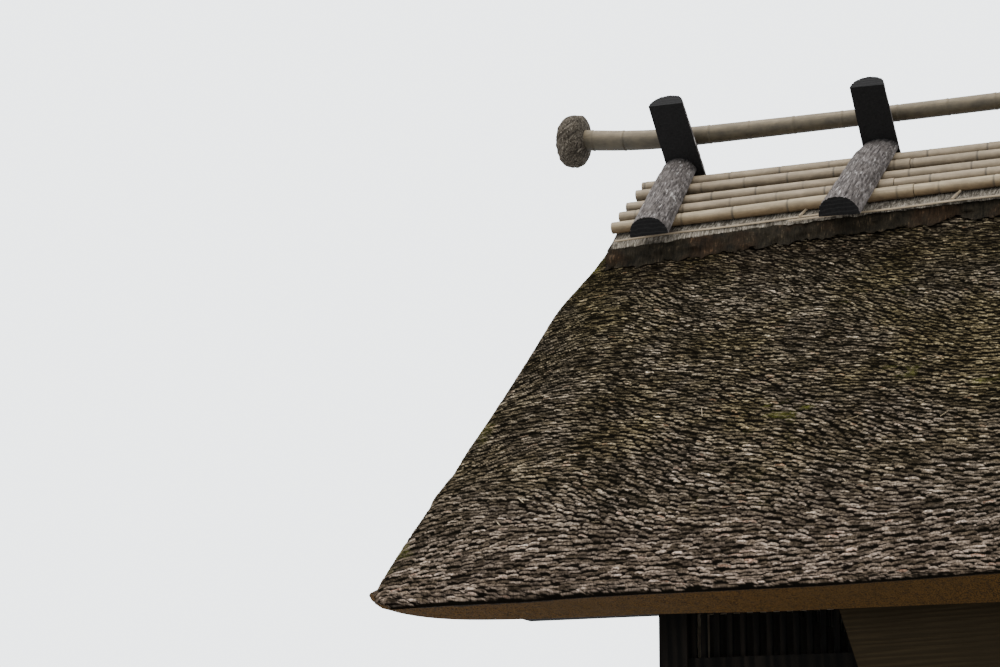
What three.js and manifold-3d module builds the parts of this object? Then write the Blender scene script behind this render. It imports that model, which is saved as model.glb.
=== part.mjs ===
// A thatched farmhouse with a gabled roof and a ridge held down by crossed half logs.
// Millimetres, +Z up. X runs along the ridge, the entrance side faces -Y, and the
// origin lies on the ground under the middle of the house.
import * as THREE from 'three';
import { mergeVertices } from 'three/addons/utils/BufferGeometryUtils.js';
import Module from 'manifold-3d';

const wasm = await Module();
wasm.setup();

const GAP = 0.3;
const DEGREE = Math.PI / 180;

// Thatch: the eave lip, the slope, and how the slab is trimmed
const LIP_Y = 3128;
const LIP_Z = 3185;
const THATCH_SLOPE = 43.95 * DEGREE;
const THATCH_THICKNESS = 341;
const EAVE_CUT_LENGTH = 380;
const EAVE_CUT_DROP = 20 * DEGREE;
const LIP_RADIUS = 60;
const LIP_SHARPENING = 52;
const LIP_ROUNDED = 800;
const LIP_SHARP = 3000;
const VERGE_RADIUS = 110;
const VERGE_HALF_LENGTH = 4715;
const VERGE_TAPER = 0.085;
const SHOULDER_DEPTH = 65;
const SHOULDER_START = 2900;
const SHOULDER_END = 3700;
const EAVE_TRIM = 46;
const EAVE_TRIM_EASE = 26;
const EAVE_TRIM_FULL = 1300;
const EAVE_TRIM_EASED = 2200;
const CORNER_TRIM = 245;
const CORNER_REACH = 200;
const TRIM_REACH_UP = 500;
const RIDGE_BED_Y = 450;

// Ridge: crossed half logs on bamboo rows, over bark and packed straw
const SADDLE_COUNT = 7;
const SADDLE_PITCH = 1300;
const CROSSING_Z = 6333;
const SADDLE_SLOPE = 39.1 * DEGREE;
const LOG_BELOW_CROSSING = 1020;
const BACK_LOG_ABOVE = [527, 477, 500, 515, 490, 505, 495];
const LOG_BUTT_WIDTH = 258;
const LOG_TOP_WIDTH = 224;
const LOG_TAPER_LENGTH = 1520;
const LOG_THICKNESS_RATIO = 0.5;
const LOG_SIDES = 10;
const FRONT_SKEW = [-3.6, 3.8, -1.5, 1, -2, 2.5, -1];
const BACK_SKEW = [0.7, 1.7, 2, -2.5, 1, -1.5, 0.5];
const FRONT_SHIFT = [-57, 0, 0, 10, -15, 0, 20];
const BACK_SHIFT = [-20, 0, 0, -10, 5, 0, 10];
const WIDTH_CHANGE = [-9, 5, 0, 6, -6, 10, 2];
const BAMBOO_RADIUS = 43;
const BAMBOO_SIDES = 12;
const BAMBOO_ROWS = [106, 230, 381, 497, 618];
const BAMBOO_TOP_HALF_LENGTH = 4193;
const BAMBOO_FLARE = 0.065;
const BARK_THICKNESS = 20;
const BARK_RUN = 680;
const BARK_DROOP = 260;
const BARK_HALF_LENGTH = 4200;
const PACKING_RUN_Y = 520;
const PACKING_DROOP = 185;
const PACKING_EDGE_LEAN = 45;
const CAP_HALF_LENGTH = 4225;
const CAP_SPREAD = 0.28;
const CAP_SPREAD_FROM = 200;
const CAP_STATIONS = [-1, -0.82, -0.6, -0.35, 0, 0.35, 0.6, 0.82, 1];
const POLE_RADIUS = 55.5;
const POLE_SWELL = 15.5;
const POLE_SWELL_FROM = 2000;
const POLE_SWELL_TO = 4500;
const POLE_RISE = 100;
const POLE_RISE_FROM = 3900;
const POLE_STATIONS = [0, 1000, 2000, 2700, 3300, 3900, 4250, 4500];
const POLE_SIDES = 18;
const POLE_END = 4640;
const ROOT_BALL_RADIUS = 185;
const ROOT_BALL_LENGTH = 210;

// Roof timbers under the thatch
const BATTEN_DEPTH = 30;
const BATTEN_WIDTH = 45;
const BATTEN_PLACES = [530, 1120, 1720, 2320, 2920, 3520];
const BATTEN_HALF_LENGTH = 4150;
const RAFTER_DEPTH = 90;
const RAFTER_WIDTH = 80;
const RAFTER_COUNT = 13;
const RAFTER_PITCH = 680;
const RAFTER_TAIL_Y = 2500;
const TIMBER_LAP = 6;
const BEAM_HALF_LENGTH = 4150;
const RIDGE_BEAM_WIDTH = 150;
const RIDGE_BEAM_DEPTH = 200;
const TIE_BEAM_X = 1300;
const TIE_BEAM_WIDTH = 150;
const TIE_BEAM_BOTTOM = 3170;
const TIE_BEAM_TOP = 3400;
const KING_POST = 140;

// Walls: post frames outside, boarded and plastered infill behind them
const POST = 160;
const CORNER_X = 3250;
const WALL_Y = 2170;
const FOOTING_TOP = 150;
const FOOTING_OUT = 70;
const FOOTING_IN = 120;
const SILL_TOP = 270;
const RAIL_DEPTH = 100;
const WINDOW_BOTTOM = 1270;
const WINDOW_RAIL = 120;
const HEAD_BOTTOM = 2300;
const HEAD_TOP = 2420;
const TRANSOM_RAIL_BOTTOM = 2800;
const TRANSOM_BOTTOM = 2900;
const PLATE_BOTTOM = 3150;
const SIDE_BEAM_TOP = 3330;
const INFILL = 60;
const GABLE_BOARD = 60;
const FRONT_POSTS = [-3250, -2050, -50, 1600, 3250];
const BACK_POSTS = [-3250, -1600, 50, 1700, 3250];
const SIDE_POSTS = [-750, 750];
const DOOR_BAY = 1;
const DOOR_THICKNESS = 35;
const DOOR_STILE = 70;
const DOOR_PANEL = 14;
const DOOR_OVERLAP = 45;

// Sign board, bare, nailed to the rafter ends over the entrance
const SIGN_LEFT = -2275;
const SIGN_RIGHT = 175;
const SIGN_TOP = 3200;
const SIGN_BOTTOM = 2520;
const SIGN_THICKNESS = 42;
const SIGN_SLANT = 0.31;

const finish = {
  thatch: { color: 0x6f6658, roughness: 0.95, metalness: 0 },
  straw: { color: 0x3a3028, roughness: 0.95, metalness: 0 },
  bark: { color: 0x6e6a62, roughness: 0.9, metalness: 0 },
  bamboo: { color: 0xb3a78f, roughness: 0.6, metalness: 0 },
  log: { color: 0x6d6b6a, roughness: 0.85, metalness: 0 },
  timber: { color: 0x3b332c, roughness: 0.8, metalness: 0 },
  plaster: { color: 0xa59a84, roughness: 0.95, metalness: 0 },
  boards: { color: 0x54483c, roughness: 0.85, metalness: 0 },
  floor: { color: 0x6a5742, roughness: 0.7, metalness: 0 },
  stone: { color: 0x7c7a74, roughness: 0.9, metalness: 0 },
  sign: { color: 0x77695a, roughness: 0.85, metalness: 0 },
};

const group = new THREE.Group();

function addPiece(name, geometry, look) {
  const mesh = new THREE.Mesh(geometry, new THREE.MeshStandardMaterial(finish[look]));
  mesh.name = name;
  group.add(mesh);
}

// Solids for joining and cutting
function toSolid(geometry) {
  const bare = geometry.clone();
  bare.deleteAttribute('normal');
  bare.deleteAttribute('uv');
  const merged = mergeVertices(bare, 1e-3);
  const index = merged.index.array;
  const numbers = {
    numProp: 3,
    vertProperties: merged.attributes.position.array,
    triVerts: new Uint32Array(index),
  };
  return new wasm.Manifold(new wasm.Mesh(numbers));
}

function toGeometry(solid) {
  const mesh = solid.getMesh();
  const geometry = new THREE.BufferGeometry();
  geometry.setAttribute('position', new THREE.BufferAttribute(new Float32Array(mesh.vertProperties), 3));
  geometry.setIndex(Array.from(mesh.triVerts));
  geometry.computeVertexNormals();
  return geometry;
}

function join(geometries) {
  const solids = geometries.map(toSolid);
  return toGeometry(solids.reduce((all, next) => all.add(next)));
}

function cut(geometry, tools) {
  return toGeometry(tools.map(toSolid).reduce((left, tool) => left.subtract(tool), toSolid(geometry)));
}

function box(x0, x1, y0, y1, z0, z1) {
  const geometry = new THREE.BoxGeometry(x1 - x0, y1 - y0, z1 - z0);
  return geometry.translate((x0 + x1) / 2, (y0 + y1) / 2, (z0 + z1) / 2);
}

// A prism whose outline lies in the Y-Z plane, given as [y, z] points
function prismAlongX(outline, x0, x1) {
  const shape = new THREE.Shape(outline.map(([y, z]) => new THREE.Vector2(y, z)));
  const geometry = new THREE.ExtrudeGeometry(shape, { depth: x1 - x0, bevelEnabled: false });
  const turn = new THREE.Matrix4().makeBasis(
    new THREE.Vector3(0, 1, 0), new THREE.Vector3(0, 0, 1), new THREE.Vector3(1, 0, 0));
  return geometry.applyMatrix4(turn).translate(x0, 0, 0);
}

// A body along X whose section changes: one [y, z] outline for each place, counter-clockwise in Y-Z
function bodyAlongX(outlines, places) {
  const count = outlines[0].length;
  const position = [];
  const index = [];
  outlines.forEach((outline, k) => {
    for (const [y, z] of outline) {
      position.push(places[k], y, z);
    }
  });
  for (let k = 0; k + 1 < places.length; k += 1) {
    for (let i = 0; i < count; i += 1) {
      const a = k * count + i;
      const b = k * count + (i + 1) % count;
      index.push(a, b, a + count, b, b + count, a + count);
    }
  }
  const last = (places.length - 1) * count;
  const flat = outlines[0].map(([y, z]) => new THREE.Vector2(y, z));
  for (const [a, b, c] of THREE.ShapeUtils.triangulateShape(flat, [])) {
    index.push(a, c, b);
    index.push(last + a, last + b, last + c);
  }
  const geometry = new THREE.BufferGeometry();
  geometry.setAttribute('position', new THREE.Float32BufferAttribute(position, 3));
  geometry.setIndex(index);
  geometry.computeVertexNormals();
  return geometry;
}

// A closed body from rings of equal length, each ring convex enough for a fan
function loft(rings) {
  const count = rings[0].length;
  const position = [];
  const index = [];
  for (const ring of rings) {
    for (const point of ring) {
      position.push(point.x, point.y, point.z);
    }
  }
  for (let r = 0; r + 1 < rings.length; r += 1) {
    for (let i = 0; i < count; i += 1) {
      const a = r * count + i;
      const b = r * count + (i + 1) % count;
      index.push(a, b, a + count, b, b + count, a + count);
    }
  }
  const last = (rings.length - 1) * count;
  for (let i = 1; i + 1 < count; i += 1) {
    index.push(0, i + 1, i);
    index.push(last, last + i, last + i + 1);
  }
  const geometry = new THREE.BufferGeometry();
  geometry.setAttribute('position', new THREE.Float32BufferAttribute(position, 3));
  geometry.setIndex(index);
  geometry.computeVertexNormals();
  return geometry;
}

function smooth(low, high, value) {
  const t = Math.min(1, Math.max(0, (value - low) / (high - low)));
  return t * t * (3 - 2 * t);
}

// How far a rounded edge has dropped at a distance from it
function edgeDrop(radius, distance) {
  if (distance >= radius) {
    return 0;
  }
  return radius - Math.sqrt(radius * radius - (radius - distance) ** 2);
}

// Thatch coordinates: s up the slope from the lip, n out of the roof. side is -1 in front.
function roofPoint(side, s, n, x) {
  const y = LIP_Y - s * Math.cos(THATCH_SLOPE) + n * Math.sin(THATCH_SLOPE);
  const z = LIP_Z + s * Math.sin(THATCH_SLOPE) + n * Math.cos(THATCH_SLOPE);
  return new THREE.Vector3(x, side * y, z);
}

function roofHeight(y, n) {
  return LIP_Z + (LIP_Y - Math.abs(y)) * Math.tan(THATCH_SLOPE) + n / Math.cos(THATCH_SLOPE);
}

function slopeLengthTo(y, n) {
  return (LIP_Y - y + n * Math.sin(THATCH_SLOPE)) / Math.cos(THATCH_SLOPE);
}

// Height of the bed on which the ridge lies, flatter than the slope below it
function ridgeBedHeight(y) {
  return roofHeight(RIDGE_BED_Y, 0) + (RIDGE_BED_Y - y) * Math.tan(SADDLE_SLOPE);
}

function vergeHalfLength(s) {
  return VERGE_HALF_LENGTH - VERGE_TAPER * s - SHOULDER_DEPTH * smooth(SHOULDER_START, SHOULDER_END, s);
}

function thatchSlab(side) {
  const fromVerge = [0, 12, 35, 70, 110, 180, 280, 450, 800, 1300, 2200, 3000];
  const upSlope = [0, 20, 60, 180, 320, 500, 1000, 1900, 2900, 3100, 3300, 3500];
  const bedStart = slopeLengthTo(RIDGE_BED_Y, 0);
  const outerTop = slopeLengthTo(GAP / 2, 0);
  const steps = [...upSlope, bedStart, outerTop];
  const left = fromVerge.map((d) => [-1, d]);
  const right = fromVerge.map((d) => [1, d]).reverse();
  const stations = [...left, [0, VERGE_HALF_LENGTH], ...right];
  const outer = [];
  const inner = [];
  for (const [end, d] of stations) {
    const eased = EAVE_TRIM_EASE * smooth(EAVE_TRIM_FULL, EAVE_TRIM_EASED, d);
    const trim = EAVE_TRIM - eased + CORNER_TRIM * Math.exp(-d / CORNER_REACH);
    const cutDepth = THATCH_THICKNESS - trim;
    const cutStart = EAVE_CUT_LENGTH * Math.cos(THATCH_SLOPE + EAVE_CUT_DROP) * cutDepth / THATCH_THICKNESS;
    const innerTop = slopeLengthTo(GAP / 2, -THATCH_THICKNESS);
    const lipRadius = LIP_RADIUS - LIP_SHARPENING * smooth(LIP_ROUNDED, LIP_SHARP, d);
    outer.push(steps.map((s) => {
      const drop = Math.max(edgeDrop(lipRadius, s), edgeDrop(VERGE_RADIUS, d));
      const x = end * (vergeHalfLength(s) - d);
      return s > bedStart
        ? new THREE.Vector3(x, side * GAP / 2, ridgeBedHeight(GAP / 2) - drop)
        : roofPoint(side, s, -drop, x);
    }));
    inner.push(steps.map((s) => {
      const up = cutStart + s / outerTop * (innerTop - cutStart);
      const depth = THATCH_THICKNESS - trim * (1 - smooth(0, TRIM_REACH_UP, s));
      return roofPoint(side, up, -depth, end * (vergeHalfLength(s) - d));
    }));
  }
  return slab(outer, inner, side < 0);
}

// A closed slab between two grids of points, [station][step]
function slab(outer, inner, flip) {
  const columns = outer.length;
  const rows = outer[0].length;
  const position = [];
  for (const grid of [outer, inner]) {
    for (const line of grid) {
      for (const point of line) {
        position.push(point.x, point.y, point.z);
      }
    }
  }
  const index = [];
  const at = (layer, c, r) => layer * columns * rows + c * rows + r;
  const quad = (a, b, c, d) => {
    if (flip) {
      index.push(a, b, c, a, c, d);
    } else {
      index.push(a, c, b, a, d, c);
    }
  };
  for (let c = 0; c + 1 < columns; c += 1) {
    for (let r = 0; r + 1 < rows; r += 1) {
      quad(at(0, c, r), at(0, c + 1, r), at(0, c + 1, r + 1), at(0, c, r + 1));
      quad(at(1, c, r), at(1, c, r + 1), at(1, c + 1, r + 1), at(1, c + 1, r));
    }
    quad(at(0, c, 0), at(1, c, 0), at(1, c + 1, 0), at(0, c + 1, 0));
    quad(at(0, c, rows - 1), at(0, c + 1, rows - 1), at(1, c + 1, rows - 1), at(1, c, rows - 1));
  }
  for (let r = 0; r + 1 < rows; r += 1) {
    quad(at(0, 0, r), at(0, 0, r + 1), at(1, 0, r + 1), at(1, 0, r));
    quad(at(0, columns - 1, r), at(1, columns - 1, r), at(1, columns - 1, r + 1), at(0, columns - 1, r + 1));
  }
  const geometry = new THREE.BufferGeometry();
  geometry.setAttribute('position', new THREE.Float32BufferAttribute(position, 3));
  geometry.setIndex(index);
  geometry.computeVertexNormals();
  return geometry;
}

// Ridge coordinates: u down the saddle slope from the crossing, n out of it
function capPoint(side, u, n, x) {
  const y = u * Math.cos(SADDLE_SLOPE) + n * Math.sin(SADDLE_SLOPE);
  const z = CROSSING_Z - u * Math.sin(SADDLE_SLOPE) + n * Math.cos(SADDLE_SLOPE);
  return new THREE.Vector3(x, side * y, z);
}

function capHeight(y, n) {
  return CROSSING_Z - Math.abs(y) * Math.tan(SADDLE_SLOPE) + n / Math.cos(SADDLE_SLOPE);
}

// The cap spreads down its slopes towards both ends of the ridge
function spread(amount, x) {
  return amount * (x / CAP_HALF_LENGTH) ** 2;
}

// A half log: flat underneath, round on top, tapering upwards, and turned a little on its bed
function halfLog(side, x, skew, widthChange, above) {
  const rings = [LOG_BELOW_CROSSING, -above].map((u) => {
    const share = (LOG_BELOW_CROSSING - u) / LOG_TAPER_LENGTH;
    const width = LOG_BUTT_WIDTH + (LOG_TOP_WIDTH - LOG_BUTT_WIDTH) * share;
    const half = (width + widthChange) / 2;
    const height = width * LOG_THICKNESS_RATIO;
    const ring = [];
    for (let i = 0; i <= LOG_SIDES; i += 1) {
      const turn = Math.PI * i / LOG_SIDES;
      const across = half * Math.cos(turn);
      const rise = height * Math.sin(turn) ** 0.8;
      const along = u * Math.cos(skew) - across * Math.sin(skew);
      const over = across * Math.cos(skew) + u * Math.sin(skew);
      ring.push(capPoint(side, along, rise, x - over));
    }
    return ring;
  });
  return loft(side < 0 ? rings : rings.reverse());
}

// The back logs run through over the ridge, and each front log is mitred against the flat face
// of its neighbour
function addSaddles() {
  const mitre = [0, -Math.sin(SADDLE_SLOPE), -Math.cos(SADDLE_SLOPE)];
  const mitrePlace = GAP - CROSSING_Z * Math.cos(SADDLE_SLOPE);
  for (let i = 0; i < SADDLE_COUNT; i += 1) {
    const x = (i - (SADDLE_COUNT - 1) / 2) * SADDLE_PITCH;
    const frontX = x + FRONT_SHIFT[i];
    const backX = x + BACK_SHIFT[i];
    const front = halfLog(-1, frontX, FRONT_SKEW[i] * DEGREE, WIDTH_CHANGE[i], LOG_BUTT_WIDTH / 2);
    const back = halfLog(1, backX, BACK_SKEW[i] * DEGREE, -WIDTH_CHANGE[i], BACK_LOG_ABOVE[i]);
    addPiece(`saddle_log_front_${i + 1}`, toGeometry(toSolid(front).trimByPlane(mitre, mitrePlace)), 'log');
    addPiece(`saddle_log_back_${i + 1}`, back, 'log');
  }
}

function addCapBamboo() {
  for (const [side, name] of [[-1, 'front'], [1, 'back']]) {
    BAMBOO_ROWS.forEach((run, row) => {
      const half = BAMBOO_TOP_HALF_LENGTH + BAMBOO_FLARE * run;
      const places = CAP_STATIONS.map((part) => part * half);
      const outlines = places.map((x) => {
        const u = run + spread(CAP_SPREAD * Math.max(0, run - CAP_SPREAD_FROM), x);
        const centre = capPoint(side, u, -BAMBOO_RADIUS - GAP, x);
        const ring = [];
        for (let i = 0; i < BAMBOO_SIDES; i += 1) {
          const turn = 2 * Math.PI * i / BAMBOO_SIDES - side * SADDLE_SLOPE;
          ring.push([centre.y + BAMBOO_RADIUS * Math.cos(turn), centre.z + BAMBOO_RADIUS * Math.sin(turn)]);
        }
        return ring;
      });
      addPiece(`cap_bamboo_${name}_${row + 1}`, bodyAlongX(outlines, places), 'bamboo');
    });
  }
}

// The bark sheets lie straight under the bamboo, one bed on each slope
function addBarkCovers() {
  const top = -2 * BAMBOO_RADIUS - 2 * GAP;
  const bottom = top - BARK_THICKNESS;
  const places = CAP_STATIONS.map((part) => part * BARK_HALF_LENGTH);
  for (const [side, name] of [[-1, 'front'], [1, 'back']]) {
    const near = side * GAP / 2;
    const outlines = places.map((x) => {
      const low = capPoint(side, BARK_RUN + spread(BARK_DROOP, x), bottom, x);
      const high = capPoint(side, BARK_RUN + spread(BARK_DROOP, x), top, x);
      const outline = [
        [near, capHeight(near, bottom)], [near, capHeight(near, top)],
        [high.y, high.z], [low.y, low.z],
      ];
      return side < 0 ? outline : outline.reverse();
    });
    addPiece(`bark_cover_${name}`, bodyAlongX(outlines, places), 'bark');
  }
}

// Packed straw wrapped in dark bark, which beds the ridge on the thatch
function addRidgePacking() {
  const top = -2 * BAMBOO_RADIUS - BARK_THICKNESS - 3 * GAP;
  const lift = GAP / Math.cos(THATCH_SLOPE);
  const places = CAP_STATIONS.map((part) => part * CAP_HALF_LENGTH);
  const outlines = places.map((x) => {
    const run = PACKING_RUN_Y + spread(PACKING_DROOP, x);
    const shoulder = run - PACKING_EDGE_LEAN;
    return [
      [0, ridgeBedHeight(0) + lift],
      [RIDGE_BED_Y, ridgeBedHeight(RIDGE_BED_Y) + lift],
      [run, roofHeight(run, GAP)],
      [shoulder, capHeight(shoulder, top)],
      [0, capHeight(0, top)],
      [-shoulder, capHeight(shoulder, top)],
      [-run, roofHeight(run, GAP)],
      [-RIDGE_BED_Y, ridgeBedHeight(RIDGE_BED_Y) + lift],
    ];
  });
  addPiece('ridge_packing', bodyAlongX(outlines, places), 'straw');
}

// Half the pole's width at a distance from the middle of the ridge: it swells towards the root
function poleRadius(distance) {
  const t = Math.min(1, Math.max(0, (distance - POLE_SWELL_FROM) / (POLE_SWELL_TO - POLE_SWELL_FROM)));
  return POLE_RADIUS + POLE_SWELL * t * t;
}

// The pole's middle: it rests on the crests of the back logs, and turns up past the last pair
function poleHeight(distance) {
  const taper = (LOG_BUTT_WIDTH - LOG_TOP_WIDTH) / LOG_TAPER_LENGTH;
  const lean = taper * Math.tan(SADDLE_SLOPE);
  const widthUnderPole = LOG_BUTT_WIDTH - taper * LOG_BELOW_CROSSING - lean * POLE_RADIUS;
  const forkThickness = LOG_THICKNESS_RATIO * widthUnderPole / (1 + LOG_THICKNESS_RATIO * lean);
  const rise = POLE_RISE * (Math.max(0, distance - POLE_RISE_FROM) / 1000) ** 2;
  return capHeight(0, forkThickness + poleRadius(distance) + GAP) + rise;
}

// Two culms lie along the ridge, butted together over the middle saddle, root ends outwards
function addRidgePoles() {
  for (const [end, name] of [[-1, 'west'], [1, 'east']]) {
    const distances = [GAP, ...POLE_STATIONS.slice(1), POLE_END];
    const outlines = distances.map((distance) => {
      const ring = [];
      for (let i = 0; i < POLE_SIDES; i += 1) {
        const turn = 2 * Math.PI * i / POLE_SIDES;
        ring.push([
          poleRadius(distance) * Math.cos(turn),
          poleHeight(distance) + poleRadius(distance) * Math.sin(turn),
        ]);
      }
      return ring;
    });
    const places = distances.map((distance) => end * distance);
    const culm = end < 0 ? bodyAlongX(outlines.reverse(), places.reverse()) : bodyAlongX(outlines, places);
    const ball = [
      new THREE.Vector2(0, -ROOT_BALL_LENGTH * 0.15),
      new THREE.Vector2(POLE_RADIUS * 1.3, -ROOT_BALL_LENGTH * 0.15),
      new THREE.Vector2(ROOT_BALL_RADIUS * 0.84, 0),
      new THREE.Vector2(ROOT_BALL_RADIUS, ROOT_BALL_LENGTH * 0.3),
      new THREE.Vector2(ROOT_BALL_RADIUS * 0.92, ROOT_BALL_LENGTH * 0.66),
      new THREE.Vector2(ROOT_BALL_RADIUS * 0.7, ROOT_BALL_LENGTH * 0.9),
      new THREE.Vector2(0, ROOT_BALL_LENGTH * 0.98),
    ];
    const root = new THREE.LatheGeometry(ball, 14);
    root.rotateZ(-end * Math.PI / 2).translate(end * POLE_END, 0, poleHeight(POLE_END));
    addPiece(`ridge_pole_${name}`, join([culm, root]), 'bamboo');
  }
}

// Rafters with the battens that carry the thatch, tied together on each slope
function addRafters() {
  const battenTop = -THATCH_THICKNESS - GAP;
  const battenBottom = battenTop - BATTEN_DEPTH;
  const rafterTop = battenBottom + TIMBER_LAP;
  const rafterBottom = battenBottom - RAFTER_DEPTH;
  for (const [side, name] of [[-1, 'front'], [1, 'back']]) {
    const tail = side * RAFTER_TAIL_Y;
    const head = side * GAP;
    const outline = [
      [tail, roofHeight(tail, rafterBottom)], [tail, roofHeight(tail, rafterTop)],
      [head, roofHeight(head, rafterTop)], [head, roofHeight(head, rafterBottom)],
    ];
    const timbers = [];
    for (let i = 0; i < RAFTER_COUNT; i += 1) {
      const x = (i - (RAFTER_COUNT - 1) / 2) * RAFTER_PITCH;
      timbers.push(prismAlongX(outline, x - RAFTER_WIDTH / 2, x + RAFTER_WIDTH / 2));
    }
    for (const s of BATTEN_PLACES) {
      const upper = s + BATTEN_WIDTH;
      const corners = [[s, battenBottom], [s, battenTop], [upper, battenTop], [upper, battenBottom]];
      const section = corners.map(([along, n]) => {
        const point = roofPoint(side, along, n, 0);
        return [point.y, point.z];
      });
      timbers.push(prismAlongX(section, -BATTEN_HALF_LENGTH, BATTEN_HALF_LENGTH));
    }
    addPiece(`rafters_${name}`, join(timbers), 'timber');
  }
}

function rafterUnderside(y) {
  return roofHeight(y, -THATCH_THICKNESS - GAP - BATTEN_DEPTH - RAFTER_DEPTH) - GAP;
}

function battenUnderside(y) {
  return roofHeight(y, -THATCH_THICKNESS - GAP - BATTEN_DEPTH) - GAP;
}

const ridgeBeamTop = rafterUnderside(RIDGE_BEAM_WIDTH / 2);
const ridgeBeamBottom = ridgeBeamTop - RIDGE_BEAM_DEPTH;

function addBeams() {
  const half = RIDGE_BEAM_WIDTH / 2;
  const ridgeBeam = box(-BEAM_HALF_LENGTH, BEAM_HALF_LENGTH, -half, half, ridgeBeamBottom, ridgeBeamTop);
  addPiece('ridge_beam', ridgeBeam, 'timber');
  const outside = WALL_Y + POST / 2;
  const inside = WALL_Y - POST / 2;
  for (const [side, name] of [[-1, 'front'], [1, 'back']]) {
    const outline = [
      [side * outside, PLATE_BOTTOM], [side * outside, rafterUnderside(outside)],
      [side * inside, rafterUnderside(inside)], [side * inside, PLATE_BOTTOM],
    ];
    addPiece(`wall_plate_${name}`, prismAlongX(outline, -BEAM_HALF_LENGTH, BEAM_HALF_LENGTH), 'timber');
  }
  const reach = inside - INFILL - 2 * GAP;
  for (const [x, name] of [[-TIE_BEAM_X, 'west'], [TIE_BEAM_X, 'east']]) {
    const wide = TIE_BEAM_WIDTH / 2;
    const tie = box(x - wide, x + wide, -reach, reach, TIE_BEAM_BOTTOM, TIE_BEAM_TOP);
    const thick = KING_POST / 2;
    const foot = TIE_BEAM_TOP - TIMBER_LAP;
    const post = box(x - thick, x + thick, -thick, thick, foot, ridgeBeamBottom - GAP);
    addPiece(`tie_beam_${name}`, join([tie, post]), 'timber');
  }
}

// A post frame of one long wall: posts, sill and rails, with the doorway left open
function longFrame(side, posts, doorBay) {
  const near = side * (WALL_Y - POST / 2);
  const far = side * (WALL_Y + POST / 2);
  const y0 = Math.min(near, far);
  const y1 = Math.max(near, far);
  const r0 = side * WALL_Y - RAIL_DEPTH / 2;
  const r1 = side * WALL_Y + RAIL_DEPTH / 2;
  const end = CORNER_X + POST / 2;
  const timbers = [box(-end, end, y0, y1, FOOTING_TOP + GAP, SILL_TOP)];
  for (const x of posts) {
    timbers.push(box(x - POST / 2, x + POST / 2, y0, y1, SILL_TOP - TIMBER_LAP, PLATE_BOTTOM - GAP));
  }
  for (let bay = 0; bay + 1 < posts.length; bay += 1) {
    const x0 = posts[bay];
    const x1 = posts[bay + 1];
    timbers.push(box(x0, x1, r0, r1, HEAD_BOTTOM, HEAD_TOP));
    timbers.push(box(x0, x1, r0, r1, TRANSOM_RAIL_BOTTOM, TRANSOM_BOTTOM));
    if (bay !== doorBay) {
      timbers.push(box(x0, x1, r0, r1, WINDOW_BOTTOM - WINDOW_RAIL, WINDOW_BOTTOM));
    }
  }
  return join(timbers);
}

// A post frame of a gable end, between the corner posts
function sideFrame(end) {
  const x0 = end * CORNER_X - POST / 2;
  const x1 = end * CORNER_X + POST / 2;
  const r0 = end * CORNER_X - RAIL_DEPTH / 2;
  const r1 = end * CORNER_X + RAIL_DEPTH / 2;
  const reach = WALL_Y - POST / 2 - GAP;
  const timbers = [
    box(x0, x1, -reach, reach, FOOTING_TOP + GAP, SILL_TOP),
    box(x0, x1, -reach, reach, PLATE_BOTTOM, SIDE_BEAM_TOP),
    box(r0, r1, -reach, reach, WINDOW_BOTTOM - WINDOW_RAIL, WINDOW_BOTTOM),
    box(r0, r1, -reach, reach, HEAD_BOTTOM, HEAD_TOP),
    box(r0, r1, -reach, reach, TRANSOM_RAIL_BOTTOM, TRANSOM_BOTTOM),
  ];
  for (const y of SIDE_POSTS) {
    timbers.push(box(x0, x1, y - POST / 2, y + POST / 2, SILL_TOP - TIMBER_LAP, PLATE_BOTTOM + TIMBER_LAP));
  }
  return join(timbers);
}

function addFrames() {
  addPiece('post_frame_front', longFrame(-1, FRONT_POSTS, DOOR_BAY), 'timber');
  addPiece('post_frame_back', longFrame(1, BACK_POSTS, -1), 'timber');
  addPiece('post_frame_west', sideFrame(-1), 'timber');
  addPiece('post_frame_east', sideFrame(1), 'timber');
}

// Infill behind a run of bays of a long wall, with its window and transom openings;
// at the house corners a narrow jamb stands where the infill of the gable end meets it
function longInfill(side, posts, firstBay, lastBay, bottom, withWindows) {
  const reach = CORNER_X - POST / 2 - GAP;
  const x0 = Math.max(-reach, posts[firstBay] + GAP / 2);
  const x1 = Math.min(reach, posts[lastBay + 1] - GAP / 2);
  const outside = side * (WALL_Y - POST / 2 - GAP);
  const inside = side * (WALL_Y - POST / 2 - GAP - INFILL);
  const y0 = Math.min(outside, inside);
  const y1 = Math.max(outside, inside);
  const through = INFILL;
  const jamb = reach - INFILL - GAP;
  const openings = [];
  for (let bay = firstBay; bay <= lastBay; bay += 1) {
    const left = Math.max(-jamb, posts[bay] + POST / 2);
    const right = Math.min(jamb, posts[bay + 1] - POST / 2);
    openings.push(box(left, right, y0 - through, y1 + through, TRANSOM_BOTTOM, PLATE_BOTTOM));
    if (withWindows) {
      openings.push(box(left, right, y0 - through, y1 + through, WINDOW_BOTTOM, HEAD_BOTTOM));
    }
  }
  const top = rafterUnderside(WALL_Y - POST / 2);
  return cut(box(x0, x1, y0, y1, bottom, top), openings);
}

function sideInfill(end) {
  const outside = end * (CORNER_X - POST / 2 - GAP);
  const inside = end * (CORNER_X - POST / 2 - GAP - INFILL);
  const x0 = Math.min(outside, inside);
  const x1 = Math.max(outside, inside);
  const reach = WALL_Y - POST / 2 - INFILL - 2 * GAP;
  const [y0, y1] = SIDE_POSTS;
  const window = box(x0 - INFILL, x1 + INFILL, y0 + POST / 2, y1 - POST / 2, WINDOW_BOTTOM, HEAD_BOTTOM);
  return cut(box(x0, x1, -reach, reach, SILL_TOP + GAP, SIDE_BEAM_TOP), [window]);
}

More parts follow.
